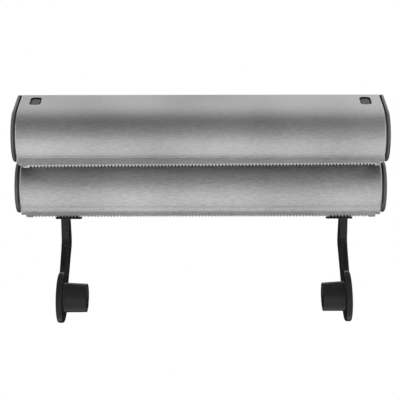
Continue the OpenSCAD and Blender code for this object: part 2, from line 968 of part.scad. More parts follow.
// Disc and hollow hub of an arm; the disc's outer face lies at x = 0, the hub points to -X
module arm_disc() {
    translate([0, towel_axis[0], towel_axis[1]])
        rotate([0, -90, 0])
            rotate_extrude() {
                square([disc_r - disc_round, disc_t]);
                translate([0, disc_round])
                    square([disc_r, disc_t - disc_round]);
                translate([disc_r - disc_round, disc_round])
                    circle(disc_round);
                square([hub_r, disc_t + hub_floor]);
                translate([hub_r - hub_wall, 0])
                    square([hub_wall, disc_t + hub_len]);
            }
}

// Side view of the strap, from the foot plate to a step on the disc
module strap_side() {
    neck_a = way(towel_axis, [-bend_depth, -bend_drop]);
    difference() {
        polygon([
            [foot_front_y, foot_top_z - foot_plate_t / 2],
            [-bend_depth, -bend_drop],
            towel_axis + (disc_r - disc_round) * unit(neck_a + neck_front),
            towel_axis,
            towel_axis + (disc_r - disc_round) * unit(neck_a - neck_back),
            [-bend_depth + strap_depth, -bend_drop - cut],
            [foot_front_y + strap_depth, foot_top_z - foot_plate_t / 2]]);
        translate(towel_axis)
            circle(hub_r + neck_gap);
    }
}

// Right arm with its outer face at x = 0
module arm() {
    neck_a = way(towel_axis, [-bend_depth, -bend_drop]);
    groove_end = towel_axis + (disc_r - disc_round) * unit(neck_a + neck_front);
    groove_way = way([-bend_depth, -bend_drop], groove_end);
    groove_len = norm(groove_end - [-bend_depth, -bend_drop]);
    difference() {
        along_x(-strap_t, 0)
            strap_side();
        translate([-strap_t / 2, -bend_depth, -bend_drop])
            rotate([groove_way, 0, 0])
                translate([-groove_w / 2, groove_len / 8, -groove_d])
                    cube([groove_w, groove_len * 3 / 4, 2 * groove_d]);
    }
    arm_disc();
    translate([foot_out - foot_len / 2, foot_front_y + foot_depth / 2, foot_low_z])
        linear_extrude(foot_plate_t)
            rounded(foot_len, foot_depth, foot_corner);
    translate([foot_out - foot_len + foot_corner, rail_mid_y - rail_slot / 2 + slide_gap, foot_top_z - cut])
        cube([foot_len - 2 * foot_corner, rail_slot - 2 * slide_gap, rail_in_z - foot_top_z + cut - slide_gap]);
    translate([foot_out - foot_len + foot_corner, rail_y + rail_wall_t + slide_gap, rail_lip_z + slide_gap])
        cube([
            foot_len - 2 * foot_corner,
            rail_w - 2 * rail_wall_t - 2 * slide_gap,
            rail_in_z - rail_lip_z - 2 * slide_gap]);
}

module right_arm() {
    color(black)
        translate([arm_span / 2 + arm_shift, 0, 0])
            arm();
}

module left_arm() {
    color(black)
        translate([-arm_span / 2 + arm_shift, 0, 0])
            left()
                arm();
}

wall_plate();
left_cheek();
right_cheek();
hinge_pins();
upper_tray();
left_bracket();
right_bracket();
axle_pins();
lower_tray();
towel_rail();
left_catch();
right_catch();
cheek_screws();
bracket_screws();
rail_screws();
tray_screws();
tray_rivets();
upper_cover();
upper_left_cap();
upper_right_cap();
lower_cover();
lower_left_cap();
lower_right_cap();
left_button();
right_button();
left_spring();
right_spring();
left_clip();
right_clip();
left_arm();
right_arm();
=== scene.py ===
# %% [markdown]
# # A wall-hung wrap dispenser with a towel holder
# The real object is two brushed steel drums between black end caps, with two black arms below
# that hold a roll of paper towel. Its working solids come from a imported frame, in metres, with
# +X to the right, +Y into the wall and +Z up. This lesson dresses them: the sheets and mouldings
# that one sees are built again as finer meshes, and every surface gets its finish.

# %% Load the frame
import json
import math
from collections import namedtuple

import bmesh
import bpy
from mathutils import Matrix, Vector


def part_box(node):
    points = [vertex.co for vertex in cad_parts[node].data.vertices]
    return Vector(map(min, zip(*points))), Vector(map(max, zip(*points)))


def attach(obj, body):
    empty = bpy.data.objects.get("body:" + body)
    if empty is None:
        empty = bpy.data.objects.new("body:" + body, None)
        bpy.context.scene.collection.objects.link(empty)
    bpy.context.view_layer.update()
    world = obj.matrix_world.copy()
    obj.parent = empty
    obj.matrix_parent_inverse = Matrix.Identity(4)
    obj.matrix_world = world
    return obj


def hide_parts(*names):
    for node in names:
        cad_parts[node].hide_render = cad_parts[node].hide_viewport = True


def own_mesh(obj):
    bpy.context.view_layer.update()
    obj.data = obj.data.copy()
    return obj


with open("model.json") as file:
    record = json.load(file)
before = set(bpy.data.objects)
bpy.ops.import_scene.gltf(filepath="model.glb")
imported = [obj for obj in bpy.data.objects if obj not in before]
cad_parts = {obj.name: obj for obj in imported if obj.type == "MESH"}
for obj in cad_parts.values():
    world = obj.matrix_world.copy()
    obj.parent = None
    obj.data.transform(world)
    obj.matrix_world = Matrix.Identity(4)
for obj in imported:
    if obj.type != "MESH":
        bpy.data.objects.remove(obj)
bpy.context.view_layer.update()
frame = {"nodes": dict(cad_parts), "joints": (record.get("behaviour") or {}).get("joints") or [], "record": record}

MM = 0.001

# %% [markdown]
# ## Measuring the drums
# Most sizes need not be typed again, because the solids hold them: the box of a cover gives its
# length and its front, and a hinge in the record gives the axis of the lower drum. Only what a
# box can't tell, such as the thickness of the sheet, is written here as a size of its own.

# %% Measure the drums
SHEET = 1.0 * MM
UPPER_R = 27.0 * MM
RIDGE_Y = -44.0 * MM
UPPER_LIP_BACK = 12.5 * MM
LOWER_LIP_BACK = 14.5 * MM

joints = {joint["name"]: joint for joint in frame["joints"]}
mounts = {mount["name"]: mount for mount in frame["record"]["mounts"]}
upper_low, upper_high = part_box("upper_cover")
lower_low, lower_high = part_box("lower_cover")
upper_cap_low, upper_cap_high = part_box("upper_right_cap")
lower_cap_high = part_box("lower_right_cap")[1]

# Points of a side view are written as (y, z)
upper_axis = Vector((upper_low.y + UPPER_R, upper_cap_low.z + UPPER_R))
lower_axis = Vector(joints["lower_lid_turn"]["pos_m"][1:])
hinge = Vector(joints["upper_lid_hinge"]["pos_m"][1:])
lower_r = lower_axis.x - lower_low.y
ridge = Vector((RIDGE_Y, upper_high.z))
deck_back = Vector((upper_high.y, upper_high.z))
upper_lip_y = upper_low.y + UPPER_LIP_BACK
lower_lip_y = lower_low.y + LOWER_LIP_BACK
print("drum axes (y, z):", upper_axis[:], lower_axis[:], "lower radius:", round(lower_r, 5))

# %% [markdown]
# ## Drawing side views
# Sheet metal is bent, never folded to a knife edge, and mouldings have rounded corners. Blender
# can bevel such corners afterwards, but a drawn side view with arcs and fillets gives even rows
# of points, and these carry clean highlights along the drums. The helpers below draw an arc,
# round a corner or an edge, and find the outward direction at every point of a line.


# %% Draw arcs, fillets and outward directions
def arc(centre, radius, start, stop, steps):
    angles = [math.radians(start + (stop - start) * k / steps) for k in range(steps + 1)]
    return [centre + radius * Vector((math.cos(a), math.sin(a))) for a in angles]


def on_circle(centre, radius, turn):
    return arc(centre, radius, turn, turn, 1)[0]


def rounding(radius, turns):
    """Inset and rise of a rounded edge at the given turns in degrees."""
    turned = [math.radians(turn) for turn in turns]
    return [(radius * (1 - math.cos(t)), radius * math.sin(t)) for t in turned]


def heading(origin, point):
    return math.degrees(math.atan2(point.y - origin.y, point.x - origin.x))


def fillet(before, corner, after, radius, steps=5):
    back = (before - corner).normalized()
    ahead = (after - corner).normalized()
    half = back.angle(ahead) / 2
    centre = corner + (back + ahead).normalized() * radius / math.sin(half)
    start = heading(centre, corner + back * radius / math.tan(half))
    stop = heading(centre, corner + ahead * radius / math.tan(half))
    turn = (stop - start + 180) % 360 - 180
    return arc(centre, radius, start, start + turn, steps)


def outward(path, closed=False):
    """Unit normals on the right-hand side of the way that the path runs."""
    count = len(path)
    runs = [(path[(k + 1) % count] - path[k]).normalized() for k in range(count)]
    normals = []
    for k in range(count):
        before = runs[k - 1] if closed or k > 0 else runs[k]
        after = runs[k] if closed or k < count - 1 else runs[k - 1]
        along = (before + after).normalized()
        normals.append(Vector((along.y, -along.x)))
    return normals


def inset(path, depth, closed=False):
    return [p - n * depth for p, n in zip(path, outward(path, closed))]


print("quarter arc points:", len(arc(upper_axis, UPPER_R, 0, 90, 6)))

# %% [markdown]
# ## From side views to meshes
# Three ways of making a solid cover the whole object. A loft skins a row of equal loops, as for
# a cap or an arm. A lathe spins an outline, as for a disc or a pin. A sheet gives a side view
# its thickness and runs it along the drum. All of them write into a bmesh, which is Blender's
# workshop mesh, so one piece can be joined from several of these before it becomes an object.


# %% Loft, lathe and sheet
def loft(bm, loops, ring=False):
    """Skins equal loops of points. A ring joins the last loop to the first, with no end faces."""
    rows = [[bm.verts.new(p) for p in loop] for loop in loops]
    count = len(rows[0])
    pairs = list(zip(rows, rows[1:]))
    if ring:
        pairs.append((rows[-1], rows[0]))
    for low, high in pairs:
        for k in range(count):
            n = (k + 1) % count
            bm.faces.new((low[k], low[n], high[n], high[k]))
    if not ring:
        bm.faces.new(rows[0][::-1])
        bm.faces.new(rows[-1])


def lathe(bm, outline, place, steps=64, ring=False):
    """Spins (radius, height) points round the height axis of the matrix place."""
    loops = []
    for radius, height in outline:
        angles = [2 * math.pi * k / steps for k in range(steps)]
        ring_points = [Vector((radius * math.cos(a), radius * math.sin(a), height)) for a in angles]
        loops.append([place @ p for p in ring_points])
    loft(bm, loops, ring)


# Steel that is left at the tips of ground teeth
KEEN = 0.12 * MM


def sheet(bm, path, thickness, columns, ground_edge=None):
    """Runs a side view along X, over columns of (x, inset). ground_edge shapes the last two rows."""
    normals = outward(path)
    outer, inner = [], []
    for x, depth in columns:
        for side, rows in ((depth, outer), (thickness - depth, inner)):
            points = [p - n * side for p, n in zip(path, normals)]
            if ground_edge:
                top_z, low_z, grind = ground_edge(x)
                along = (points[-1] - points[-2]) / (points[-1].y - points[-2].y)
                points[-2] += along * (top_z - points[-2].y)
                points[-1] += along * (low_z - points[-1].y)
                left = thickness - 2 * depth
                points[-1].x += grind if rows is outer else max(min(grind, 0.0), grind + KEEN - left)
            rows.append([bm.verts.new((x, p.x, p.y)) for p in points])
    last = len(path) - 1
    for a, b, c, d in zip(outer, outer[1:], inner, inner[1:]):
        for k in range(last):
            bm.faces.new((a[k], b[k], b[k + 1], a[k + 1]))
            bm.faces.new((c[k], c[k + 1], d[k + 1], d[k]))
        for k in (0, last):
            bm.faces.new((a[k], b[k], d[k], c[k]))
    for k in range(last):
        for a, c in ((outer[0], inner[0]), (outer[-1], inner[-1])):
            bm.faces.new((a[k], c[k], c[k + 1], a[k + 1]))


END_SHARES = ((1.0, 0.0), (0.85, 0.05), (0.15, 0.45), (0.0, 0.5))


def rolled_end(half, thickness, reach):
    """Columns at the right end of a sheet whose edge is rolled over within the given reach."""
    return [(half - reach * along, thickness * depth) for along, depth in END_SHARES]


print("columns at a rolled end:", len(END_SHARES))

# %% [markdown]
# ## From a mesh to a piece
# A finished mesh still needs to know what it belongs to.

# %% Make a piece
WELD = 1e-7


def add_object(name, data):
    made = bpy.data.objects.new(name, data)
    bpy.context.scene.collection.objects.link(made)
    return made


def piece(bm, name, body, slot, material, *nodes, sharp=35):
    """Turns a bmesh into an object that rides on a body and stands for the named solids."""
    bmesh.ops.remove_doubles(bm, verts=bm.verts, dist=WELD)
    bmesh.ops.recalc_face_normals(bm, faces=bm.faces)
    mesh = bpy.data.meshes.new(name)
    bm.to_mesh(mesh)
    bm.free()
    mesh.polygons.foreach_set("use_smooth", [True] * len(mesh.polygons))
    mesh.set_sharp_from_angle(angle=math.radians(sharp))
    mesh.materials.append(material)
    made = add_object(name, mesh)
    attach(made, body)
    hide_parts(*nodes)
    print(name, "faces:", len(mesh.polygons))
    return made


print("faces are welded within", WELD, "m")

# %% [markdown]
# ## Finishes: shared nodes
# All finishes are procedural, so they need no picture files and hold at any distance. Each one
# starts from a Principled shader. Numbers that are the same everywhere go straight onto its
# sockets, and only what varies over the surface comes through nodes: object coordinates,
# stretched by a Mapping node, feed a noise, and a colour ramp or a Map Range sets how far it acts.
# Two small classes keep that short: one for any node tree, and one for a material built on it.


# %% Nodes that all finishes share
# A noise rarely leaves the middle of its range
NOISE_MIDDLE = (0.3, 0.7)


class NodeTree:
    def __init__(self, tree):
        self.nodes = tree.nodes
        self.links = tree.links

    def math(self, operation, *values):
        """Math node whose inputs are plain numbers or outputs of other nodes."""
        node = self.nodes.new("ShaderNodeMath")
        node.operation = operation
        for socket, value in zip(node.inputs, values):
            if isinstance(value, float):
                socket.default_value = value
            else:
                self.links.new(value, socket)
        return node.outputs["Value"]

    def remap(self, value, source, target, kind="LINEAR"):
        """Maps a value from the source range onto the target range."""
        node = self.nodes.new("ShaderNodeMapRange")
        node.interpolation_type = kind
        for end, number in zip(("From Min", "From Max", "To Min", "To Max"), (*source, *target)):
            node.inputs[end].default_value = number
        self.links.new(value, node.inputs["Value"])
        return node.outputs["Result"]

    def mix_shaders(self, share, first, second, output):
        """Mixes two shaders by a share and makes the mix the surface of the output node."""
        mix = self.nodes.new("ShaderNodeMixShader")
        for socket, value in zip(mix.inputs, (share, first, second)):
            self.links.new(value, socket)
        self.links.new(mix.outputs["Shader"], self.nodes[output].inputs["Surface"])


class Finish(NodeTree):
    def __init__(self, name):
        self.material = bpy.data.materials.new(name)
        self.material.use_nodes = True
        super().__init__(self.material.node_tree)
        self.shader = self.nodes["Principled BSDF"]
        self.place = self.nodes.new("ShaderNodeTexCoord").outputs["Object"]

    def axes(self):
        """X, Y and Z of the object coordinates as values of their own."""
        split = self.nodes.new("ShaderNodeSeparateXYZ")
        self.links.new(self.place, split.inputs["Vector"])
        return split.outputs

    def set(self, **sockets):
        for socket, value in sockets.items():
            self.shader.inputs[socket.replace("_", " ")].default_value = value

    def noise(self, stretch, detail=3.0, shift=0.0):
        """Noise with so many cells per metre along X, Y and Z, shifted by cells along X."""
        mapping = self.nodes.new("ShaderNodeMapping")
        mapping.inputs["Scale"].default_value = stretch
        mapping.inputs["Location"].default_value[0] = shift
        texture = self.nodes.new("ShaderNodeTexNoise")
        texture.inputs["Scale"].default_value = 1.0
        texture.inputs["Detail"].default_value = detail
        self.links.new(self.place, mapping.inputs["Vector"])
        self.links.new(mapping.outputs["Vector"], texture.inputs["Vector"])
        return texture.outputs["Fac"]

    def spread(self, value, low, high, target):
        """Maps the noise's middle range onto low..high and feeds the named socket."""
        self.links.new(self.remap(value, NOISE_MIDDLE, (low, high)), self.shader.inputs[target])

    def tint(self, value, dark, light):
        """Base colour that runs from dark to light with the value."""
        ramp = self.nodes.new("ShaderNodeValToRGB")
        for end, colour, at in zip(ramp.color_ramp.elements, (dark, light), NOISE_MIDDLE):
            end.color = (*colour, 1.0)
            end.position = at
        self.links.new(value, ramp.inputs["Fac"])
        self.links.new(ramp.outputs["Color"], self.shader.inputs["Base Color"])

    def mixed(self, first, second, share):
        """Two values mixed, with the given share of the second."""
        mix = self.nodes.new("ShaderNodeMix")
        mix.inputs["Factor"].default_value = share
        self.links.new(first, mix.inputs["A"])
        self.links.new(second, mix.inputs["B"])
        return mix.outputs["Result"]

    def bump(self, value, depth, strength=1.0):
        bump = self.nodes.new("ShaderNodeBump")
        bump.inputs["Distance"].default_value = depth
        bump.inputs["Strength"].default_value = strength
        self.links.new(value, bump.inputs["Height"])
        self.links.new(bump.outputs["Normal"], self.shader.inputs["Normal"])


print("noises act between", NOISE_MIDDLE)

# %% [markdown]
# ## Finish of the covers: brushed stainless steel
# The sheets are brushed along the drum, so the fine scratches run along X. Under a strong glass they are grooves,
# and they smear reflections across themselves: the drums show soft bands instead of mirror images. An anisotropic
# shader does that smearing, with its tangent turned round the X axis, and stretched noise adds single streaks and
# slow clouds in the polish. The lower drum is a little rougher, and its light tone is lighter than the upper
# one's: this is painted light, so that the same steel looks more brightly lit there. Where the sheet is cut for
# the buttons, its edge is painted near black: painted shade for the shadowed gap round each button. The lower
# drum is a little rougher. Where the sheet is cut for the buttons, its edge is blackened.


# %% Brushed steel
STREAKS = (170.0, 1000.0, 1000.0)
STREAK_DEPTH = 0.006 * MM
CLOUDS = (14.0, 12.0, 12.0)
CLOUD_DETAIL = 0.5
CLOUD_SHIFT = -1.12


def brushed_steel(name, dark, light, smooth, rough, cloudy):
    steel = Finish(name)
    steel.set(Metallic=1.0, Anisotropic=0.5)
    streaks = steel.noise(STREAKS)
    clouds = steel.noise(CLOUDS, CLOUD_DETAIL, CLOUD_SHIFT)
    steel.tint(steel.mixed(streaks, clouds, cloudy), dark, light)
    steel.spread(streaks, smooth, rough, "Roughness")
    steel.bump(streaks, STREAK_DEPTH, strength=0.5)
    around = steel.nodes.new("ShaderNodeTangent")
    around.direction_type = "RADIAL"
    around.axis = "X"
    steel.links.new(around.outputs["Tangent"], steel.shader.inputs["Tangent"])
    return steel.material


STEEL_DARK = (0.415, 0.417, 0.42)
upper_steel = brushed_steel(
    "brushed_upper_steel", STEEL_DARK, (0.665, 0.667, 0.67), smooth=0.38, rough=0.46, cloudy=0.42)
# Same steel as above with a lighter light tone: painted light that makes the lower drum look more brightly lit
lower_steel_painted_light = brushed_steel(
    "lower_drum_steel_painted_light", STEEL_DARK, (0.69, 0.692, 0.695), smooth=0.46, rough=0.54, cloudy=0.35)
# Near black steel for the cut edge: painted shade for the shadowed gap round each button
painted_shade_steel = brushed_steel(
    "cut_edge_painted_shade", (0.016, 0.016, 0.017), (0.026, 0.026, 0.027), smooth=0.6, rough=0.7, cloudy=0.4)
print("made", upper_steel.name, lower_steel_painted_light.name, painted_shade_steel.name)

# %% [markdown]
# ## Finishes of the plastics
# Caps and arms are black moulded plastic with a fine spark-eroded grain: it breaks up the gloss
# so that light lies on it as a soft grey. The grain is bump, because it is far finer than any
# mesh. The arms are smoother and of a deeper black than the caps, and the buttons are a dark
# grey. The trays inside are pale, and the rail has a white enamel with the same faint pores.


# %% Moulded plastics
PLASTIC_CLOUDS = (45.0, 60.0, 60.0)
PORE_DEPTH = 0.03 * MM


def moulded_plastic(name, dark, light, smooth, rough, grain, shine=0.5):
    plastic = Finish(name)
    plastic.set(IOR=1.49, Specular_IOR_Level=shine)
    pores = plastic.noise((grain, grain, grain), detail=2.0)
    clouds = plastic.noise(PLASTIC_CLOUDS)
    plastic.tint(plastic.mixed(pores, clouds, share=0.6), dark, light)
    plastic.spread(clouds, smooth, rough, "Roughness")
    plastic.bump(pores, PORE_DEPTH, strength=0.35)
    return plastic.material


cap_black = moulded_plastic(
    "cap_plastic", (0.060, 0.060, 0.062), (0.078, 0.078, 0.080), smooth=0.36, rough=0.46, grain=2600.0)
arm_black = moulded_plastic(
    "arm_plastic", (0.007, 0.007, 0.0075), (0.012, 0.012, 0.0125),
    smooth=0.20, rough=0.28, grain=2200.0, shine=0.25)
button_grey = moulded_plastic(
    "button_plastic", (0.026, 0.027, 0.029), (0.038, 0.039, 0.041),
    smooth=0.38, rough=0.48, grain=2600.0, shine=0.28)
tray_grey = moulded_plastic(
    "tray_plastic", (0.72, 0.725, 0.73), (0.80, 0.805, 0.81), smooth=0.42, rough=0.52, grain=1800.0)
rail_white = moulded_plastic(
    "rail_enamel", (0.86, 0.86, 0.85), (0.92, 0.92, 0.91), smooth=0.30, rough=0.40, grain=900.0)
print("made", [m.name for m in (cap_black, arm_black, button_grey, tray_grey, rail_white)])

# %% [markdown]
# ## Finishes of the frame inside
# Behind the covers sit plain workshop metals. The brackets are powder coated, which gives a
# pebbled black skin. Wall plate and catches are zinc plated, with faint crystal patches. Screws,
# pins and springs are bright turned steel.


# %% Metals of the frame
def powder_black():
    coat = Finish("powder_black")
    coat.set(Roughness=0.5)
    pebbles = coat.noise((900.0, 900.0, 900.0), detail=1.0)
    coat.tint(pebbles, (0.018, 0.018, 0.019), (0.03, 0.03, 0.031))
    coat.bump(pebbles, depth=0.08 * MM, strength=0.4)
    return coat.material


def zinc_plate():
    zinc = Finish("zinc_plate")
    zinc.set(Metallic=1.0)
    patches = zinc.noise((110.0, 110.0, 110.0))
    zinc.tint(patches, (0.42, 0.43, 0.44), (0.56, 0.57, 0.58))
    zinc.spread(patches, 0.34, 0.48, "Roughness")
    return zinc.material


def turned_steel(name, dark, light):
    turned = Finish(name)
    turned.set(Metallic=1.0)
    marks = turned.noise((1500.0, 300.0, 300.0), detail=2.0)
    turned.tint(marks, dark, light)
    turned.spread(marks, 0.24, 0.36, "Roughness")
    turned.bump(marks, depth=0.01 * MM, strength=0.4)
    return turned.material


frame_black = powder_black()
frame_steel = zinc_plate()
hardware_steel = turned_steel("turned_hardware", (0.5, 0.5, 0.5), (0.62, 0.62, 0.61))
spring_wire_steel = turned_steel("spring_wire", (0.4, 0.4, 0.41), (0.55, 0.55, 0.56))
print("made", [m.name for m in (frame_black, frame_steel, hardware_steel, spring_wire_steel)])

# %% [markdown]
# ## The toothed lip
# Both covers end in a straight lip whose edge is cut into small teeth for tearing the wrap. The
# upper teeth are ground thin from the front, so their faces look slightly down and catch the
# light, and the lower ones lean forward by a hair. The lip's ends are plain, rise a little and
# have a cut corner. The upper edge rises slightly to the right and has one more tooth there. One
# function gives the edge at any x, so the sheet needs columns only where the edge has a corner.

# %% Edge of the lip
TOOTH_PITCH = 3.39 * MM
TOOTH_H = 2.4 * MM
LIP_PLAIN = 13.2 * MM
LIP_END_RISE = 2.6 * MM
GRIND_H = 0.8 * MM
END_ROUND = 1.0 * MM
# Share of a tooth's bend that its root lacks
ROOT_STRAIGHT = 0.9
# tip: height of the teeth at the left end. tilt: rise of the edge along x. bent: how far the tips
# go back. corner: cut at each end. left, right: length of the raised end and of the slope to it.
# more: teeth added at the right
Lip = namedtuple("Lip", "half tip tilt bent corner left right more")
upper_lip = Lip(
    half=upper_high.x, tip=upper_low.z + 0.5 * MM, tilt=0.0053, bent=1.5 * MM, corner=2.3 * MM,
    left=(4.6 * MM, 2.6 * MM), right=(4.8 * MM, 0.5 * MM), more=1)
lower_lip = Lip(
    half=lower_high.x, tip=lower_low.z + 0.3 * MM, tilt=0.0, bent=-0.6 * MM, corner=1.0 * MM,
    left=(6.4 * MM, 0.7 * MM), right=(5.2 * MM, 0.9 * MM), more=0)


def tooth_count(lip):
    return math.floor(2 * (lip.half - LIP_PLAIN) / TOOTH_PITCH) + 1


def first_tooth(lip):
    return -tooth_count(lip) * TOOTH_PITCH / 2


def lip_edge(lip):
    """Gives, at any x, where the ground face starts, where it ends and how deep it goes."""
    first = first_tooth(lip)
    last = first + (tooth_count(lip) + lip.more) * TOOTH_PITCH

    def edge(x):
        tip_z = lip.tip + lip.tilt * (x + lip.half)
        if first <= x <= last:
            share = (x - first) / TOOTH_PITCH % 1.0
            rise = 2 * min(share, 1.0 - share)
            bent = lip.bent * (1.0 - ROOT_STRAIGHT * rise)
            return tip_z + TOOTH_H + GRIND_H / 4, tip_z + TOOTH_H * rise, bent
        inwards = lip.half - abs(x)
        end_len, slope_len = lip.left if x < 0 else lip.right
        slope = (end_len + slope_len - inwards) / slope_len
        low_z = tip_z + LIP_END_RISE * min(1.0, max(0.0, slope)) + max(0.0, lip.corner - inwards)
        return low_z + GRIND_H, low_z, lip.bent / 2

    return edge


def column(x):
    """Rounded to a tenth of a micrometre, so that columns which fall together count once."""
    return round(x, 7)


def lip_columns(lip, extra=()):
    """Columns of a cover: tooth tips and roots, corners of the lip's ends, and rolled sheet ends."""
    halves = 2 * (tooth_count(lip) + lip.more)
    xs = {column(first_tooth(lip) + k * TOOTH_PITCH / 2) for k in range(halves + 1)}
    for side, (end_len, slope_len) in ((-1, lip.left), (1, lip.right)):
        for inwards in (end_len + slope_len, end_len, lip.corner):
            xs.add(column(side * (lip.half - inwards)))
        xs |= {column(side * x) for x in extra}
    right = rolled_end(lip.half, SHEET, END_ROUND)
    left = [(-x, depth) for x, depth in right[::-1]]
    return left + [(x, 0.0) for x in sorted(xs)] + right


print("teeth:", tooth_count(upper_lip) + upper_lip.more, "and", tooth_count(lower_lip))

# %% [markdown]
# ## Side view of the upper cover
# The upper cover is one bent sheet: a short hem at the wall, a flat deck, a soft ridge, a roof
# that slopes down to the drum, the round front, and a crease where the straight lip starts.
# The roof's line touches the drum's circle, so its angle follows from the ridge. A rolled sheet
# doesn't go from flat to round at a point, so a conic curve eases the roof into the front.

# %% Side view of the upper cover
HEM = 3.2 * MM
HEM_BEND = 1.5 * MM
RIDGE_BEND = 4.0 * MM
UPPER_CREASE = 0.9 * MM
LIP_LEAN = 5.5
CREASE_STEPS = 12
EASE_STEPS = 26
ROUND_STEPS = 18

to_ridge = ridge - upper_axis
roof_turn = heading(upper_axis, ridge) + math.degrees(math.acos(UPPER_R / to_ridge.length))
roof_normal = on_circle(Vector((0.0, 0.0)), 1.0, roof_turn)
roof_foot = upper_axis + UPPER_R * roof_normal


def roof_z(y, depth=0.0):
    """Height of the roof at y, or of the plane that lies depth below it."""
    return (roof_normal.dot(ridge) - depth - roof_normal.x * y) / roof_normal.y


def crease(axis, radius, lip_y, bend):
    """Bend between the round of a drum and its lip, and the angle at which the round ends."""
    reach = axis.x - lip_y + bend
    centre = axis + Vector((-reach, -math.sqrt((radius + bend) ** 2 - reach ** 2)))
    start = heading(centre, axis)
    return arc(centre, bend, start, LIP_LEAN, CREASE_STEPS), start + 180.0


def conic(start, corner, stop, weight, steps):
    """Smooth curve from start to stop that touches both lines through the corner."""
    points = []
    for k in range(steps + 1):
        t = k / steps
        shares = ((1 - t) ** 2, 2 * weight * t * (1 - t), t ** 2)
        points.append((start * shares[0] + corner * shares[1] + stop * shares[2]) / sum(shares))
    return points


def lip_rows(bend_end, tip_z):
    """Ends of the straight lip, which leans forward so that its teeth stand clear."""
    lean = math.tan(math.radians(LIP_LEAN))
    return [Vector((bend_end.x - lean * (bend_end.y - z), z)) for z in (tip_z + TOOTH_H, tip_z)]


BUTTON_Y = -61.5 * MM
PATCH_LEN = 22.6 * MM
EASE_START = 0.4 * MM
EASE_WEIGHT = 1.1
upper_crease, upper_stop = crease(upper_axis, UPPER_R, upper_lip_y, UPPER_CREASE)
roof_rows = [Vector((y, roof_z(y))) for y in (BUTTON_Y + PATCH_LEN / 2, BUTTON_Y - PATCH_LEN / 2)]
hem_end = deck_back - Vector((0.0, HEM))
upper_bends = [
    *fillet(hem_end, deck_back, ridge, HEM_BEND, steps=8),
    *fillet(deck_back, ridge, roof_foot, RIDGE_BEND)]
ease_y = BUTTON_Y - PATCH_LEN / 2 - EASE_START
upper_ease = conic(
    Vector((ease_y, roof_z(ease_y))), Vector((upper_low.y, roof_z(upper_low.y))),
    Vector((upper_low.y, upper_axis.y)), EASE_WEIGHT, EASE_STEPS)
upper_round = upper_ease + arc(upper_axis, UPPER_R, 180, upper_stop, ROUND_STEPS)[1:]
upper_path = [hem_end, *upper_bends, *roof_rows, *upper_round, *upper_crease[1:]]
upper_path += lip_rows(upper_crease[-1], upper_low.z)
print("roof slope:", round(roof_turn - 90, 2), "degrees; rows:", len(upper_path))

# %% [markdown]
# ## The upper cover and its button openings
# The sheet function makes the cover at once, teeth included. The two openings for the buttons
# could be cut by a Boolean, but that leaves long slivers which show as creases in brushed metal.
# Here a rectangle of the flat roof is taken out instead, and filled again round the opening. The cut edge of the
# opening takes the second material slot, a near black steel that paints the shade of the gap round the button.

# %% Upper cover
BUTTON_W = 10.2 * MM
BUTTON_LEN = 19.5 * MM
BUTTON_CORNER = 3.2 * MM
BUTTON_GAP = 0.6 * MM
PATCH_W = 17.0 * MM
# Least angle in degrees at which an edge of a sheet stays sharp
SHEET_SHARP = 13
button_low, button_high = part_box("right_button")
button_x = (button_low.x + button_high.x) / 2


def rounded_outline(width, length, corner, steps=6):
    """Rectangle with rounded corners round the origin, as (x, y) points."""
    points = []
    for quarter, (sx, sy) in enumerate(((1, 1), (-1, 1), (-1, -1), (1, -1))):
        centre = Vector((sx * (width / 2 - corner), sy * (length / 2 - corner)))
        points += arc(centre, corner, 90 * quarter, 90 * quarter + 90, steps)
    return points


def open_roof(bm, x):
    """Replaces the roof's patch round a button at x by one with the button's opening in it."""
    plan = rounded_outline(
        BUTTON_W + 2 * BUTTON_GAP, BUTTON_LEN + 2 * BUTTON_GAP, BUTTON_CORNER + BUTTON_GAP)
    rims = []
    for depth in (0.0, SHEET):
        inside = []
        for face in bm.faces:
            middle = face.calc_center_median()
            close = abs(middle.x - x) < PATCH_W / 2 and abs(middle.y - BUTTON_Y) < PATCH_LEN / 2
            if close and abs(middle.z - roof_z(middle.y, depth)) < SHEET / 4:
                inside.append(face)
        edges = [edge for face in inside for edge in face.edges]
        border = [edge for edge in edges if sum(face in inside for face in edge.link_faces) == 1]
        bmesh.ops.delete(bm, geom=inside, context="FACES")
        rim = [bm.verts.new((x + p.x, BUTTON_Y + p.y, roof_z(BUTTON_Y + p.y, depth))) for p in plan]
        rim_edges = [bm.edges.new((a, b)) for a, b in zip(rim, rim[1:] + rim[:1])]
        bmesh.ops.triangle_fill(bm, use_beauty=True, edges=border + rim_edges)
        rims.append(rim)
    # The opening's cut wall takes slot 1, the near black steel that paints the gap's shade
    for k in range(len(plan)):
        n = (k + 1) % len(plan)
        bm.faces.new((rims[0][k], rims[0][n], rims[1][n], rims[1][k])).material_index = 1


work = bmesh.new()
patch_sides = (button_x - PATCH_W / 2, button_x + PATCH_W / 2)
sheet(work, upper_path, SHEET, lip_columns(upper_lip, patch_sides), lip_edge(upper_lip))
for side in (-1, 1):
    open_roof(work, side * button_x)
upper_cover = piece(
    work, "upper_cover_sheet", "upper_lid", "steel_cover", upper_steel, "upper_cover", sharp=SHEET_SHARP)
# Second slot: near black steel, painted shade for the gap round each button
upper_cover.data.materials.append(painted_shade_steel)

# %% [markdown]
# ## The lower cover
# The lower cover is rolled to a part of a circle. It ends above the wall side, runs over the top
# and the front, and ends in a softer crease and a toothed lip of the same kind as the upper one.

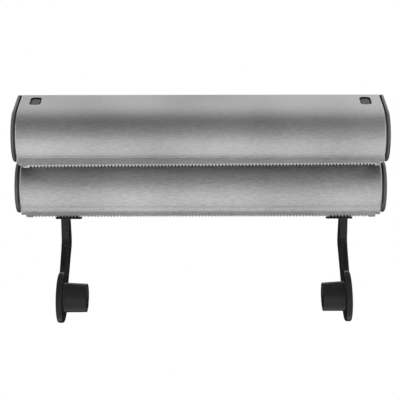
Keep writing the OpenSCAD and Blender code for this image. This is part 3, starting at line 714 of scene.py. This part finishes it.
# %% Lower cover
LOWER_COVER_END = 60.0
LOWER_CREASE = 6.5 * MM
LOWER_STEPS = 56
lower_crease, lower_stop = crease(lower_axis, lower_r, lower_lip_y, LOWER_CREASE)
lower_path = arc(lower_axis, lower_r, LOWER_COVER_END, lower_stop, LOWER_STEPS) + lower_crease[1:]
lower_path += lip_rows(lower_crease[-1], lower_low.z)
work = bmesh.new()
sheet(work, lower_path, SHEET, lip_columns(lower_lip), lip_edge(lower_lip))
piece(
    work, "lower_cover_sheet", "lower_lid", "steel_cover", lower_steel_painted_light, "lower_cover", sharp=SHEET_SHARP)

# %% [markdown]
# ## The caps
# Each end of a drum is closed by a black moulding. Its outer edge is rounded over, its face is
# crowned by a hair, as a moulding that must not look hollow, and a flange on its inside plugs
# into the sheet. Only a thin neck joins plate and flange, so a dark groove runs between cap and
# sheet. The rounded edge is a row of loops: each one moves out along X while it draws in along
# the outline's normals.

# %% Plate of a cap
CAP_GAP = 0.6 * MM
FIT = 0.1 * MM
CAP_ROUND = 2.2 * MM
CAP_EDGE = 0.6 * MM
CAP_CROWN = 0.4 * MM
CAP_TURNS = (20, 40, 60, 75, 90)
CROWN_RINGS = (0.94, 0.8, 0.6, 0.35, 0.12)
GROOVE_IN = 5.0 * MM
GROOVE_OUT = 1.3 * MM
NECK_T = 0.8 * MM
CAP_FLANGE = 4.5 * MM
FLANGE_T = 4.7 * MM
CAP_BOSS_R = 6.0 * MM
BOSS_FIT = 0.05 * MM


def cap_plate(bm, outline, middle, x_in, x_out, side):
    """Skins a cap from its inner face at x_in to its rim at x_out and the crown of its face."""
    x_round = x_out - CAP_ROUND
    x_in += GROOVE_OUT
    stations = [(x_in, CAP_EDGE), (x_in + CAP_EDGE, 0.0), (x_round, 0.0)]
    stations += [(x_round + rise, depth) for depth, rise in rounding(CAP_ROUND, CAP_TURNS)]
    loops = [[(side * x, p.x, p.y) for p in inset(outline, depth, True)] for x, depth in stations]
    face = inset(outline, CAP_ROUND, True)
    for share in CROWN_RINGS:
        x = x_out + CAP_CROWN * (1 - share ** 2)
        loops.append([(side * x, *(middle + (p - middle) * share)) for p in face])
    loft(bm, loops)


def along_x(point, x, side):
    """Matrix whose height axis runs along X to the given side, through a point of the side view."""
    turned = Matrix.Rotation(math.radians(90 * side), 4, "Y")
    return Matrix.Translation((side * x, point.x, point.y)) @ turned


def cap_boss(bm, point, x_in, side, pin_r):
    """Blind bush on the inside of a cap that turns on its pin."""
    bore = pin_r + BOSS_FIT
    start = x_in - CAP_FLANGE
    length = CAP_FLANGE + GROOVE_OUT + NECK_T
    outline = [(bore, 0.0), (CAP_BOSS_R, 0.0), (CAP_BOSS_R, length), (bore, length)]
    lathe(bm, outline, along_x(point, start, side), steps=48, ring=True)


def cap_flange(bm, path, x_in, side):
    """Flange inside the sheet, and the thinner neck that joins it to the plate."""
    flange = [(side * x, 0.0) for x in (x_in - CAP_FLANGE, x_in - CAP_GAP - END_ROUND)]
    sheet(bm, inset(path, SHEET + FIT), FLANGE_T, flange)
    neck = [(side * x, 0.0) for x in (x_in - CAP_GAP - 2 * END_ROUND, x_in + GROOVE_OUT + NECK_T)]
    sheet(bm, inset(path, GROOVE_IN), NECK_T, neck)


print("caps stand out:", round((upper_cap_high.x - upper_high.x) / MM, 2), "mm")

# %% [markdown]
# ## Upper caps
# The upper cap follows the bent sheet and closes to the wall with a straight back. Inside it
# carries a guide for the push-button, hung from a shelf under the roof, and a bush that turns on
# the hinge pin. Along the deck and the ridge, a web closes the groove beside the sheet.

# %% Upper caps
CAP_BACK_DROP = 20.0 * MM
CAP_PROUD = 0.25 * MM
BACK_BEND = 4.0 * MM
WEB_IN = 0.25 * MM
GUIDE_WALL = 1.5 * MM
GUIDE_FLOOR = 2.0 * MM
GUIDE_DROP = 3.0 * MM
SHELF_T = 4.0 * MM
SLIDE = 0.3 * MM
STEM_R = 2.5 * MM
HINGE_PIN_R = 3.0 * MM
CAP_STEPS = 48
SIDES = (("left", -1), ("right", 1))

back_low = Vector((deck_back.x, -CAP_BACK_DROP))
to_back = back_low - upper_axis
under_turn = heading(upper_axis, back_low) - math.degrees(math.acos(UPPER_R / to_back.length)) + 360
under_foot = on_circle(upper_axis, UPPER_R, under_turn)
upper_outline = [
    *arc(upper_axis, UPPER_R, roof_turn, under_turn, CAP_STEPS),
    *fillet(under_foot, back_low, deck_back, BACK_BEND),
    *fillet(back_low, deck_back, ridge, HEM_BEND + CAP_ROUND),
    *fillet(deck_back, ridge, roof_foot, RIDGE_BEND)]
# Point that the rings of the crown close in on
upper_middle = Vector((-52.0 * MM, -5.0 * MM))
spring_low, spring_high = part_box("right_spring")
guide_low = spring_low.z - GUIDE_FLOOR


def button_level(plan, side, depth=0.0, drop=0.0, z=None):
    """Loop round a button's axis: flat at z, or with the roof's slope at a depth below it."""
    loop = []
    for p in plan:
        y = BUTTON_Y + p.y
        loop.append((side * (button_x + p.x), y, roof_z(y, depth) - drop if z is None else z))
    return loop


def button_guide(bm, side):
    """Tube with a floor: its inside takes the button, its top lies under the sloping roof."""
    slot = (BUTTON_W + 2 * SLIDE, BUTTON_LEN + 2 * SLIDE, BUTTON_CORNER + SLIDE)
    outer = rounded_outline(slot[0] + 2 * GUIDE_WALL, slot[1] + 2 * GUIDE_WALL, GUIDE_WALL / 2)
    inner = rounded_outline(*slot)
    hole_r = STEM_R + SLIDE
    hole = rounded_outline(2 * hole_r, 2 * hole_r, hole_r)
    loops = [button_level(plan, side, z=guide_low) for plan in (hole, outer)]
    loops += [button_level(plan, side, GUIDE_DROP) for plan in (outer, inner)]
    loops += [button_level(plan, side, z=guide_low + GUIDE_FLOOR) for plan in (inner, hole)]
    loft(bm, loops, ring=True)


def guide_shelf(bm, x_in, side):
    half = BUTTON_LEN / 2 + SLIDE + GUIDE_WALL
    path = [Vector((y, roof_z(y))) for y in (BUTTON_Y + half, BUTTON_Y - half)]
    shelf = (button_x + BUTTON_W / 2 + SLIDE + GUIDE_WALL / 2, x_in - CAP_GAP - END_ROUND)
    columns = [(side * x, 0.0) for x in shelf]
    sheet(bm, inset(path, SHEET + FIT), SHELF_T, columns)


def ridge_web(bm, x_in, side):
    """Closes the groove along the deck and the ridge, level with the sheet beside it."""
    columns = [(side * x, 0.0) for x in (upper_high.x + FIT, x_in + GROOVE_OUT + NECK_T)]
    sheet(bm, inset(upper_bends, WEB_IN), NECK_T, columns)


def upper_cap(name, side):
    work = bmesh.new()
    x_in = upper_high.x + CAP_GAP
    cap_plate(work, upper_outline, upper_middle, x_in, upper_cap_high.x + CAP_PROUD, side)
    cap_flange(work, [*upper_bends, *upper_round], x_in, side)
    cap_boss(work, hinge, x_in, side, HINGE_PIN_R)
    button_guide(work, side)
    guide_shelf(work, x_in, side)
    ridge_web(work, x_in, side)
    piece(work, name + "_moulding", "upper_lid", "cap_black", cap_black, name)


for hand, side in SIDES:
    upper_cap(f"upper_{hand}_cap", side)

# %% [markdown]
# ## Lower caps
# The lower caps are round, so a lathe could spin them, but the same loops as above keep both
# drums alike in every edge. Their lower half is stretched by a hair, as the real ones are.

# %% Lower caps
AXLE_PIN_R = 4.0 * MM
LOWER_CAP_DROP = 0.045
lower_outline = [
    Vector((p.x, p.y + LOWER_CAP_DROP * min(0.0, p.y - lower_axis.y)))
    for p in arc(lower_axis, lower_r, 0, 360, 2 * CAP_STEPS)[:-1]]


def lower_cap(name, side):
    work = bmesh.new()
    x_in = lower_high.x + CAP_GAP
    cap_plate(work, lower_outline, lower_axis, x_in, lower_cap_high.x, side)
    cap_flange(work, arc(lower_axis, lower_r, LOWER_COVER_END, lower_stop, CAP_STEPS), x_in, side)
    cap_boss(work, lower_axis, x_in, side, AXLE_PIN_R)
    piece(work, name + "_moulding", "lower_lid", "cap_black", cap_black, name)


for hand, side in SIDES:
    lower_cap(f"lower_{hand}_cap", side)

# %% [markdown]
# ## Push-buttons
# A button is an oblong key that lies just below the steel. Its top slopes with the roof and is
# slightly domed, with a rounded rim, and a stem under it runs through the guide's floor.

# %% Push-buttons
BUTTON_SINK = 0.7 * MM
BUTTON_SLACK = 0.5 * MM
BUTTON_ROUND = 0.9 * MM
BUTTON_DOME = 0.35 * MM
BUTTON_RINGS = (0.85, 0.65, 0.4, 0.15)
BUTTON_TURNS = (0, 25, 50, 70, 90)
STEM_CHAMFER = 0.5 * MM


def push_button(name, side):
    plan = inset(rounded_outline(BUTTON_W, BUTTON_LEN, BUTTON_CORNER), BUTTON_SLACK, True)
    top = inset(plan, BUTTON_ROUND, True)
    base = spring_high.z
    loops = [
        button_level(inset(plan, BUTTON_ROUND / 2, True), side, z=base),
        button_level(plan, side, z=base + BUTTON_ROUND / 2)]
    for depth, rise in rounding(BUTTON_ROUND, BUTTON_TURNS):
        drop = BUTTON_ROUND - rise + BUTTON_DOME
        loops.append(button_level(inset(plan, depth, True), side, BUTTON_SINK, drop))
    for share in BUTTON_RINGS:
        ring = [p * share for p in top]
        loops.append(button_level(ring, side, BUTTON_SINK, BUTTON_DOME * share ** 2))
    work = bmesh.new()
    loft(work, loops)
    length = base - button_low.z + BUTTON_ROUND
    stem = [(STEM_R - STEM_CHAMFER, 0.0), (STEM_R, STEM_CHAMFER), (STEM_R, length)]
    lathe(work, stem, Matrix.Translation((side * button_x, BUTTON_Y, button_low.z)), steps=32)
    piece(work, name + "_key", name, "button_grey", button_grey, name)


for hand, side in SIDES:
    push_button(f"{hand}_button", side)

# %% [markdown]
# ## Button springs
# Under each button sits a coil spring. A curve with a bevel could make it; here a mesh is swept along the coil.
# The first and the last turn lie flat, as on a ground spring.

# %% Button springs
SPRING_WIRE = 0.9 * MM
SPRING_TURNS = 6.5
SPRING_STEPS = 24
WIRE_SIDES = 8


def coil_height(turn, wire, length):
    """Height of the wire's middle after so many turns, with a flat turn at each end."""
    slope = (length - 3 * wire) / (SPRING_TURNS - 2)
    ends = min(turn, 1.0) + max(0.0, turn - SPRING_TURNS + 1.0)
    return wire / 2 + wire * ends + slope * min(max(turn - 1.0, 0.0), SPRING_TURNS - 2)


def coil_spring(name, side):
    length = spring_high.z - spring_low.z
    radius = (spring_high.x - spring_low.x - SPRING_WIRE) / 2
    loops = []
    for k in range(int(SPRING_TURNS * SPRING_STEPS) + 1):
        turn = k / SPRING_STEPS
        a = 2 * math.pi * turn
        lift = spring_low.z + coil_height(turn, SPRING_WIRE, length)
        loop = []
        for n in range(WIRE_SIDES):
            b = 2 * math.pi * n / WIRE_SIDES
            r = radius + SPRING_WIRE / 2 * math.cos(b)
            x = side * button_x + r * math.cos(a)
            loop.append((x, BUTTON_Y + r * math.sin(a), lift + SPRING_WIRE / 2 * math.sin(b)))
        loops.append(loop)
    work = bmesh.new()
    loft(work, loops)
    coil = piece(work, name + "_coil", "upper_lid", "spring_steel", spring_wire_steel, name)
    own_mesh(coil)


for hand, side in SIDES:
    coil_spring(f"{hand}_spring", side)

# %% [markdown]
# ## Towel arms: side view of the strap
# An arm is one black moulding: a foot that slides in the rail, a bent strap, and a disc with a
# hollow hub for the core of the towel roll. The strap comes first, as a side view with soft bends.
# It stops at a step on the disc, where the roll's core has its seat. A sprung arm never stands
# quite square, so each arm has a stance of its own: a shear matrix leans its disc and its hub.

# %% Side view of the strap
STRAP_T = 8.0 * MM
STRAP_DEPTH = 21.5 * MM
BEND = Vector((-35.0 * MM, -130.0 * MM))
BEND_R = 9.0 * MM
NECK_FRONT = 3.0
NECK_BACK = 28.0
NECK_GAP = 6.5 * MM
DISC_T = 6.0 * MM
FOOT_OUT = 5.7 * MM
FOOT_LEN = 26.2 * MM
FOOT_T = 2.3 * MM
FOOT_DEPTH = 28.0 * MM
FOOT_BACK = 1.0 * MM
DISC_LOWER = 0.7 * MM

arm_low, arm_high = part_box("right_arm")
rail_low, rail_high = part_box("towel_rail")
towel_axis = Vector(mounts["right_hub"]["pos_m"][1:])
hub_r = mounts["right_hub"]["dims"]["r_mm"] * MM
disc_r = towel_axis.y - arm_low.z + DISC_LOWER
hub_end = arm_high.x - FOOT_OUT - arm_low.x
foot_top = rail_low.z - SLIDE
foot_front = lower_lip_y + SHEET + FOOT_BACK

# out: shift of the arm outwards. strap_in: shift of its strap inwards. toe: lean inwards of what lies
# behind the front. splay: lean outwards of what lies below the axis. rise: lift of the disc. short:
# length that the hub lacks
Stance = namedtuple("Stance", "out strap_in toe splay rise short")
STANCES = {
    "left_arm": Stance(
        out=-0.3 * MM, strap_in=0.2 * MM, toe=0.042, splay=0.021, rise=0.0, short=0.4 * MM),
    "right_arm": Stance(
        out=0.3 * MM, strap_in=-0.6 * MM, toe=0.020, splay=0.035, rise=1.2 * MM, short=1.2 * MM)}


def leaning(side, face_x, stance):
    """Leans a disc and its hub: parts behind its front go inwards, parts below its axis outwards."""
    lean = Matrix.Identity(4)
    lean[0][1] = -side * stance.toe
    lean[0][2] = -side * stance.splay
    lean[0][3] = side * (stance.toe * (towel_axis.x - disc_r) + stance.splay * towel_axis.y)
    lean[2][0] = side * stance.splay
    lean[2][3] = stance.rise - stance.splay * face_x
    return lean


def strap_front(z, disc_front):
    """Depth of the strap's front edge at a height, from its foot over its bend to the disc."""
    upper, lower = (Vector((foot_front, foot_top)), BEND) if z > BEND.y else (BEND, disc_front)
    return upper.x + (lower.x - upper.x) * (upper.y - z) / (upper.y - lower.y)


print("disc radius:", round(disc_r, 5), "hub end:", round(hub_end, 5))

# %% [markdown]
# ## Towel arms: strap with its groove
# The strap's front edge has a shallow groove down its middle, and a notch just above the disc.
# Both are part of the loft: the notch is two points of the side view, and the loops near the
# middle of the strap's thickness dip in between the groove's two ends.

# %% Strap
STRAP_ROUND = 1.0 * MM
GROOVE_W = 2.5 * MM
GROOVE_D = 2.4 * MM
GROOVE_SLOPE = 0.3 * MM
# Start, middle and end of the groove, as shares of the way from the bend to the disc
GROOVE_SHARES = (0.1, 0.4, 0.7)
STRAP_TURNS = (0, 30, 60, 90)
DISC_ROUND = 1.4 * MM
BEND_DEEPER = 3.0 * MM
NOTCH_H = 3.8 * MM
NOTCH_TURN = 10.0


def strap_outline():
    """Side view of the strap, and the numbers of its points that lie in the groove."""
    neck = heading(towel_axis, BEND)
    front_turn, back_turn = neck + NECK_FRONT, neck - NECK_BACK
    rim = disc_r - DISC_ROUND
    front, notch, back = (
        on_circle(towel_axis, rim, turn) for turn in (front_turn, front_turn - NOTCH_TURN, back_turn))
    top_front = Vector((foot_front, foot_top - FOOT_T / 2))
    top_back = top_front + Vector((STRAP_DEPTH - BEND_DEEPER, 0.0))
    bend_back = BEND + Vector((STRAP_DEPTH + BEND_DEEPER, -SHEET))
    bend_front = fillet(top_front, BEND, front, BEND_R)
    run = front - BEND
    start, middle, end = GROOVE_SHARES
    slope = GROOVE_SLOPE / run.length
    groove = [BEND + run * share for share in (start, start + slope, middle, end - slope, end)]
    chin = front - run.normalized() * NOTCH_H
    seat = arc(towel_axis, hub_r + NECK_GAP, front_turn, back_turn, steps=8)
    points = [top_front, *bend_front, *groove, chin, notch, *seat, back]
    points += [*fillet(back, bend_back, top_back, BEND_R), top_back]
    first = 1 + len(bend_front)
    return points, range(first + 1, first + 4)


def strap(bm, face_x, side, stance):
    points, groove = strap_outline()
    stations = [(x, STRAP_ROUND - rise, 0.0) for x, rise in rounding(STRAP_ROUND, STRAP_TURNS)]
    groove_x = STRAP_T / 2 - GROOVE_W / 2
    stations += [(groove_x, 0.0, 0.0), (groove_x + GROOVE_SLOPE, 0.0, GROOVE_D)]
    stations += [(STRAP_T - x, depth, dip) for x, depth, dip in stations[::-1]]
    normals = outward(points, True)
    disc_front = points[groove[-1] + 2]
    loops = []
    for x, depth, dip in stations:
        loop = []
        for k, (p, n) in enumerate(zip(points, normals)):
            q = p - n * (depth + (dip if k in groove else 0.0))
            inwards = x + stance.strap_in + stance.toe * (q.x - strap_front(q.y, disc_front))
            loop.append((side * (face_x - inwards), q.x, q.y))
        loops.append(loop)
    loft(bm, loops)


print("strap points:", len(strap_outline()[0]))

# %% [markdown]
# ## Towel arms: disc, hub and foot
# Disc and hub are turned shapes, so a lathe spins their outline: the rounded rim, the inner face,
# a small fillet, the hub with its rounded mouth, and the hollow inside. The foot is a thin plate
# with a low fence along its front, and with a tongue and a head that run in the rail. The arms are
# hidden from mirror rays, because the photograph shows no trace of them in the lower drum.

# %% Disc, hub and foot
HUB_WALL = 2.0 * MM
HUB_FLOOR = 3.0 * MM
HUB_FILLET = 1.0 * MM
HUB_LIP = 0.5 * MM
HUB_DRAFT = 0.7 * MM
CORE_R = 0.1 * MM
FOOT_CORNER = 2.0 * MM
FOOT_EDGE = 0.4 * MM
FENCE_T = 1.5 * MM
FENCE_H = 2.6 * MM
RAIL_SLOT = 10.0 * MM
RAIL_WALL = 1.5 * MM
RAIL_LIP = 1.8 * MM
RAIL_HALF = 14.0 * MM
rail_in = rail_high.z - RAIL_WALL


def quarter(centre_r, centre_h, radius, start, steps=5):
    return [tuple(p) for p in arc(Vector((centre_r, centre_h)), radius, start, start + 90, steps)]


def disc_and_hub(bm, face_x, side, stance):
    inside = hub_r - HUB_WALL
    end = hub_end - stance.short - HUB_LIP
    outline = [(CORE_R, 0.0)]
    outline += quarter(disc_r - DISC_ROUND, DISC_ROUND, DISC_ROUND, -90)
    outline += quarter(disc_r - DISC_ROUND, DISC_T - DISC_ROUND, DISC_ROUND, 0)
    outline += quarter(hub_r + HUB_DRAFT + HUB_FILLET, DISC_T + HUB_FILLET, HUB_FILLET, 180)[::-1]
    outline += quarter(hub_r - HUB_LIP, end, HUB_LIP, 0)
    outline += quarter(inside + HUB_LIP, end, HUB_LIP, 90)
    outline += quarter(inside - HUB_FILLET, DISC_T + HUB_FLOOR + HUB_FILLET, HUB_FILLET, 270)[::-1]
    outline.append((CORE_R, DISC_T + HUB_FLOOR))
    place = leaning(side, face_x, stance) @ along_x(towel_axis, face_x, side)
    lathe(bm, outline, place @ Matrix.Rotation(math.pi, 4, "X"), steps=72)


def plate(bm, length, depth, corner, middle, low, high, edge):
    """Flat plate with rounded corners and softened edges."""
    plan = rounded_outline(length, depth, corner)
    loops = []
    for z, inwards in ((low, edge), (low + edge, 0.0), (high - edge, 0.0), (high, edge)):
        loops.append([(middle.x + p.x, middle.y + p.y, z) for p in inset(plan, inwards, True)])
    loft(bm, loops)


def foot(bm, face_x, side):
    x = side * (face_x + FOOT_OUT - FOOT_LEN / 2)
    plate_middle = Vector((x, foot_front + FOOT_DEPTH / 2))
    fence_middle = Vector((x, foot_front + FENCE_T / 2))
    rail_middle = Vector((x, rail_low.y + RAIL_HALF))
    length = FOOT_LEN - 2 * FOOT_CORNER
    start = foot_top - FOOT_T / 2
    soft = FOOT_EDGE / 4
    tongue = RAIL_SLOT - 2 * SLIDE
    head = 2 * (RAIL_HALF - RAIL_WALL - SLIDE)
    head_low, head_top = rail_low.z + RAIL_LIP + SLIDE, rail_in - SLIDE
    plate(
        bm, FOOT_LEN - FOOT_EDGE, FOOT_DEPTH, FOOT_CORNER, plate_middle,
        foot_top - FOOT_T, foot_top, FOOT_EDGE)
    plate(bm, length, FENCE_T, FOOT_EDGE, fence_middle, start, rail_low.z + FENCE_H, soft)
    plate(bm, length, tongue, FOOT_EDGE, rail_middle, start, head_top, soft)
    plate(bm, length, head, FOOT_EDGE, rail_middle, head_low, head_top, soft)


def towel_arm(name, face_x, side):
    stance = STANCES[name]
    face_x += stance.out
    work = bmesh.new()
    strap(work, face_x, side, stance)
    disc_and_hub(work, face_x, side, stance)
    foot(work, face_x, side)
    return piece(work, name + "_moulding", name, "arm_black", arm_black, name)


left_arm_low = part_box("left_arm")[0]
for (hand, side), outer_x in zip(SIDES, (-left_arm_low.x, arm_high.x)):
    towel_arm(f"{hand}_arm", outer_x - FOOT_OUT, side).visible_glossy = False

# %% [markdown]
# ## Finishes of the solids that stay
# Frame, trays, rail and small hardware are right as they are, so they stay and only get their
# finish: the solid's material slots are emptied and take the new material. Its mesh isn't touched.

# %% Dress the remaining solids
finishes = {
    frame_black: ("left_cheek", "right_cheek", "left_bracket", "right_bracket"),
    frame_steel: ("wall_plate", "left_catch", "right_catch"),
    tray_grey: ("upper_tray", "lower_tray"),
    rail_white: ("towel_rail",),
    hardware_steel: (
        "hinge_pins", "axle_pins", "left_clip", "right_clip", "tray_rivets",
        "cheek_screws", "bracket_screws", "rail_screws", "tray_screws")}
dressed = 0
for material, names in finishes.items():
    for name in names:
        solid = frame["nodes"][name]
        solid.data.materials.clear()
        solid.data.materials.append(material)
        dressed += 1
print("dressed solids:", dressed)

# %% [markdown]
# ## Camera
# The photograph was taken square to the front, from a little above the arms and about a metre
# and a half away: the ends of the drums draw in only slightly towards the back. A long lens, a
# small shift and a trace of roll give that view.

# %% Camera
CAMERA_PLACE = (0.0, -1.574, -0.092)
CAMERA_LENS = 132.3
CAMERA_ROLL = -0.1
CAMERA_SHIFT = (-0.0019, 0.0125)
SENSOR = 36.0

lens = bpy.data.cameras.new("camera")
lens.lens = CAMERA_LENS
lens.sensor_width = SENSOR
lens.shift_x, lens.shift_y = CAMERA_SHIFT
camera = add_object("camera", lens)
level_view = Matrix.Rotation(math.radians(90), 4, "X")
roll = Matrix.Rotation(math.radians(CAMERA_ROLL), 4, "Z")
camera.matrix_world = Matrix.Translation(CAMERA_PLACE) @ level_view @ roll
bpy.context.scene.camera = camera
bpy.context.scene.view_settings.view_transform = "Standard"
print("camera at", CAMERA_PLACE)

# %% [markdown]
# ## Room: its sheets
# Polished metal looks like what stands round it, so the room matters more than the lamps. Floor, studio wall and
# flag are plain sheets of quads, and none of them is part of the object.


# %% Sheets of the room
def stage_sheet(name, loops, material):
    """Sheet that is skinned from rows of points."""
    mesh = bpy.data.meshes.new(name)
    count = len(loops[0])
    points = [p for loop in loops for p in loop]
    quads = []
    for row in range(len(loops) - 1):
        for k in range(count - 1):
            a = row * count + k
            quads.append((a, a + 1, a + count + 1, a + count))
    mesh.from_pydata(points, [], quads)
    mesh.materials.append(material)
    made = add_object(name, mesh)
    return made


FLOOR_HALF = 3.0


def level_row(y, z):
    return [(-FLOOR_HALF, y, z), (FLOOR_HALF, y, z)]


print("half width of the room:", FLOOR_HALF)

# %% [markdown]
# ## Room: the floor
# The room is white, with a pale floor well below the object. Light Path nodes let the floor glow
# in mirrors, less so towards the front, and let the camera see it turn white far off, so that no
# edge of the floor shows.

# %% Floor
FLOOR_Z = -0.75
FLOOR_FRONT = -4.0
FLOOR_BACK = 2.4
# How bright mirrors see the floor, and between which depths that changes
FLOOR_GLOW = (0.5, 1.0)
GLOW_Y = (-3.2, -1.2)
# How white the camera sees the floor, and between which distances that changes
FLOOR_PALE = (0.55, 1.0)
PALE_FROM_TO = (0.9, 2.3)

floor_finish = Finish("pale_floor")
floor_finish.set(Roughness=0.9)
floor_finish.tint(floor_finish.noise((3.0, 3.0, 3.0)), (0.84, 0.84, 0.84), (0.87, 0.87, 0.87))


def glow_in_mirrors(finish):
    """Lets mirror-like surfaces see the floor as lit, and the camera see it turn white far off."""
    lit = finish.remap(finish.axes()["Y"], GLOW_Y, FLOOR_GLOW, "SMOOTHSTEP")
    rays = finish.nodes.new("ShaderNodeLightPath").outputs
    glow = finish.nodes.new("ShaderNodeEmission")
    finish.links.new(finish.math("MAXIMUM", lit, rays["Is Camera Ray"]), glow.inputs["Strength"])
    distance = finish.nodes.new("ShaderNodeVectorMath")
    distance.operation = "LENGTH"
    finish.links.new(finish.place, distance.inputs[0])
    fade = finish.remap(distance.outputs["Value"], PALE_FROM_TO, FLOOR_PALE, "SMOOTHSTEP")
    seen = finish.math("MULTIPLY_ADD", rays["Is Camera Ray"], fade, rays["Is Glossy Ray"])
    finish.mix_shaders(seen, finish.shader.outputs["BSDF"], glow.outputs["Emission"], "Material Output")


glow_in_mirrors(floor_finish)
floor_rows = [level_row(y, FLOOR_Z) for y in (FLOOR_FRONT, FLOOR_BACK)]
floor = stage_sheet("floor", floor_rows, floor_finish.material)
floor.visible_diffuse = False
print("floor at", FLOOR_Z)

# %% [markdown]
# ## Room: the studio wall
# A grey studio wall stands in front, curved over the object and out of the camera's sight. It
# gives the drums their darker band, as the dark side of a real studio does. A lamp could light
# such a wall, but a glow that is written as tones over the angle can be set band by band.

# %% Studio wall
WALL_RADIUS = 3.0
WALL_FROM = -8
WALL_TO = 120
WALL_STEP = 2
WALL_COLUMNS = (-3.0, -1.0, 1.0, 3.0)
# Tones over the angle in degrees, from level with the object to overhead and behind it
WALL_TONES = ((0, 0.39), (25, 0.32), (50, 0.24), (86, 0.21), (106, 0.43), (120, 0.90))
# Between which x the wall gets brighter to the right, and by how much
WALL_LIGHTENS = (0.2, 0.8)
WALL_RIGHT = 1.75


def wall_glow():
    """Grey that darkens from level to overhead, and is lightest at its far edge and on the right."""
    finish = Finish("studio_wall")
    finish.set(Base_Color=(0.0, 0.0, 0.0, 1.0), Roughness=1.0, Specular_IOR_Level=0.0)
    x, y, z = finish.axes()
    sideways = finish.remap(x, WALL_LIGHTENS, (1.0, WALL_RIGHT), "SMOOTHSTEP")
    finish.links.new(sideways, finish.shader.inputs["Emission Strength"])
    rise = finish.math("ARCTAN2", z, finish.math("MULTIPLY", y, -1.0))
    share = finish.math("DIVIDE", rise, math.radians(WALL_TO))
    ramp = finish.nodes.new("ShaderNodeValToRGB")
    ramp.color_ramp.interpolation = "EASE"
    stops = ramp.color_ramp.elements
    while len(stops) < len(WALL_TONES):
        stops.new(0.5)
    for stop, (turn, tone) in zip(stops, WALL_TONES):
        stop.position = turn / WALL_TO
        stop.color = (tone, tone, tone, 1.0)
    finish.links.new(share, ramp.inputs["Fac"])
    finish.links.new(ramp.outputs["Color"], finish.shader.inputs["Emission Color"])
    return finish.material


wall_rows = []
for turn in range(WALL_FROM, WALL_TO + 1, WALL_STEP):
    t = math.radians(turn)
    wall_rows.append([(x, -WALL_RADIUS * math.cos(t), WALL_RADIUS * math.sin(t)) for x in WALL_COLUMNS])
wall = stage_sheet("studio_wall", wall_rows, wall_glow())
print("wall rows:", len(wall_rows))

# %% [markdown]
# ## Room: the black flag
# Photographers hold a black card, a flag, near shiny things to darken what they mirror. This one
# hangs behind the lower half of the object. Only mirror-like surfaces see it and the wall: both
# are hidden from the camera, cast no shadow and take no part in the soft light.

# %% Black flag
FLAG_Y = 0.08
FLAG_TOP = -0.1
FLAG_LOW = -0.4
flag_finish = Finish("black_flag")
flag_finish.set(Roughness=1.0)
flag_finish.tint(flag_finish.noise((5.0, 5.0, 5.0)), (0.010, 0.010, 0.010), (0.016, 0.016, 0.016))
flag_rows = [level_row(FLAG_Y, z) for z in (FLAG_LOW, FLAG_TOP)]
flag = stage_sheet("black_flag", flag_rows, flag_finish.material)
for hidden in (wall, flag):
    hidden.visible_camera = False
    hidden.visible_diffuse = False
    hidden.visible_shadow = False
print("flag at", FLAG_Y)

# %% [markdown]
# ## World and lamps
# The world is white wherever the camera or a mirror-like surface looks at it, and dimmer for the
# soft light that it sheds, so the background is white without flooding the object. Three large
# soft lamps light the plastics at a plain level: one overhead, one in front, and a low one that
# lifts the arms and the undersides of the drums.

# %% World and lamps
WORLD_SHED = 0.42
LAMP_SIZE = 1.6
OBJECT_MIDDLE = Vector((0.0, -0.05, -0.09))
# Place in metres and power in watts of each lamp
LAMPS = {
    "overhead_lamp": ((0.3, -0.9, 1.9), 32.0),
    "front_lamp": ((0.0, -2.2, -0.4), 12.0),
    "low_lamp": ((0.0, -1.3, -0.62), 16.0)}


def white_world():
    world = bpy.data.worlds.new("white_room")
    world.use_nodes = True
    tree = NodeTree(world.node_tree)
    shed = tree.nodes["Background"]
    seen = tree.nodes.new("ShaderNodeBackground")
    for background in (shed, seen):
        background.inputs["Color"].default_value = (1, 1, 1, 1)
    shed.inputs["Strength"].default_value = WORLD_SHED
    rays = tree.nodes.new("ShaderNodeLightPath").outputs
    looked_at = tree.math("MAXIMUM", rays["Is Camera Ray"], rays["Is Glossy Ray"])
    looked_at = tree.math("MAXIMUM", looked_at, rays["Is Transmission Ray"])
    tree.mix_shaders(looked_at, shed.outputs["Background"], seen.outputs["Background"], "World Output")
    return world


def soft_lamp(name, place, power):
    data = bpy.data.lights.new(name, "AREA")
    data.shape = "SQUARE"
    data.size = LAMP_SIZE
    data.energy = power
    lamp = add_object(name, data)
    aim = OBJECT_MIDDLE - Vector(place)
    lamp.matrix_world = Matrix.Translation(place) @ aim.to_track_quat("-Z", "Y").to_matrix().to_4x4()
    lamp.visible_glossy = False
    lamp.visible_camera = False


bpy.context.scene.world = white_world()
for name, (place, power) in LAMPS.items():
    soft_lamp(name, place, power)
print("lamps:", len(LAMPS))
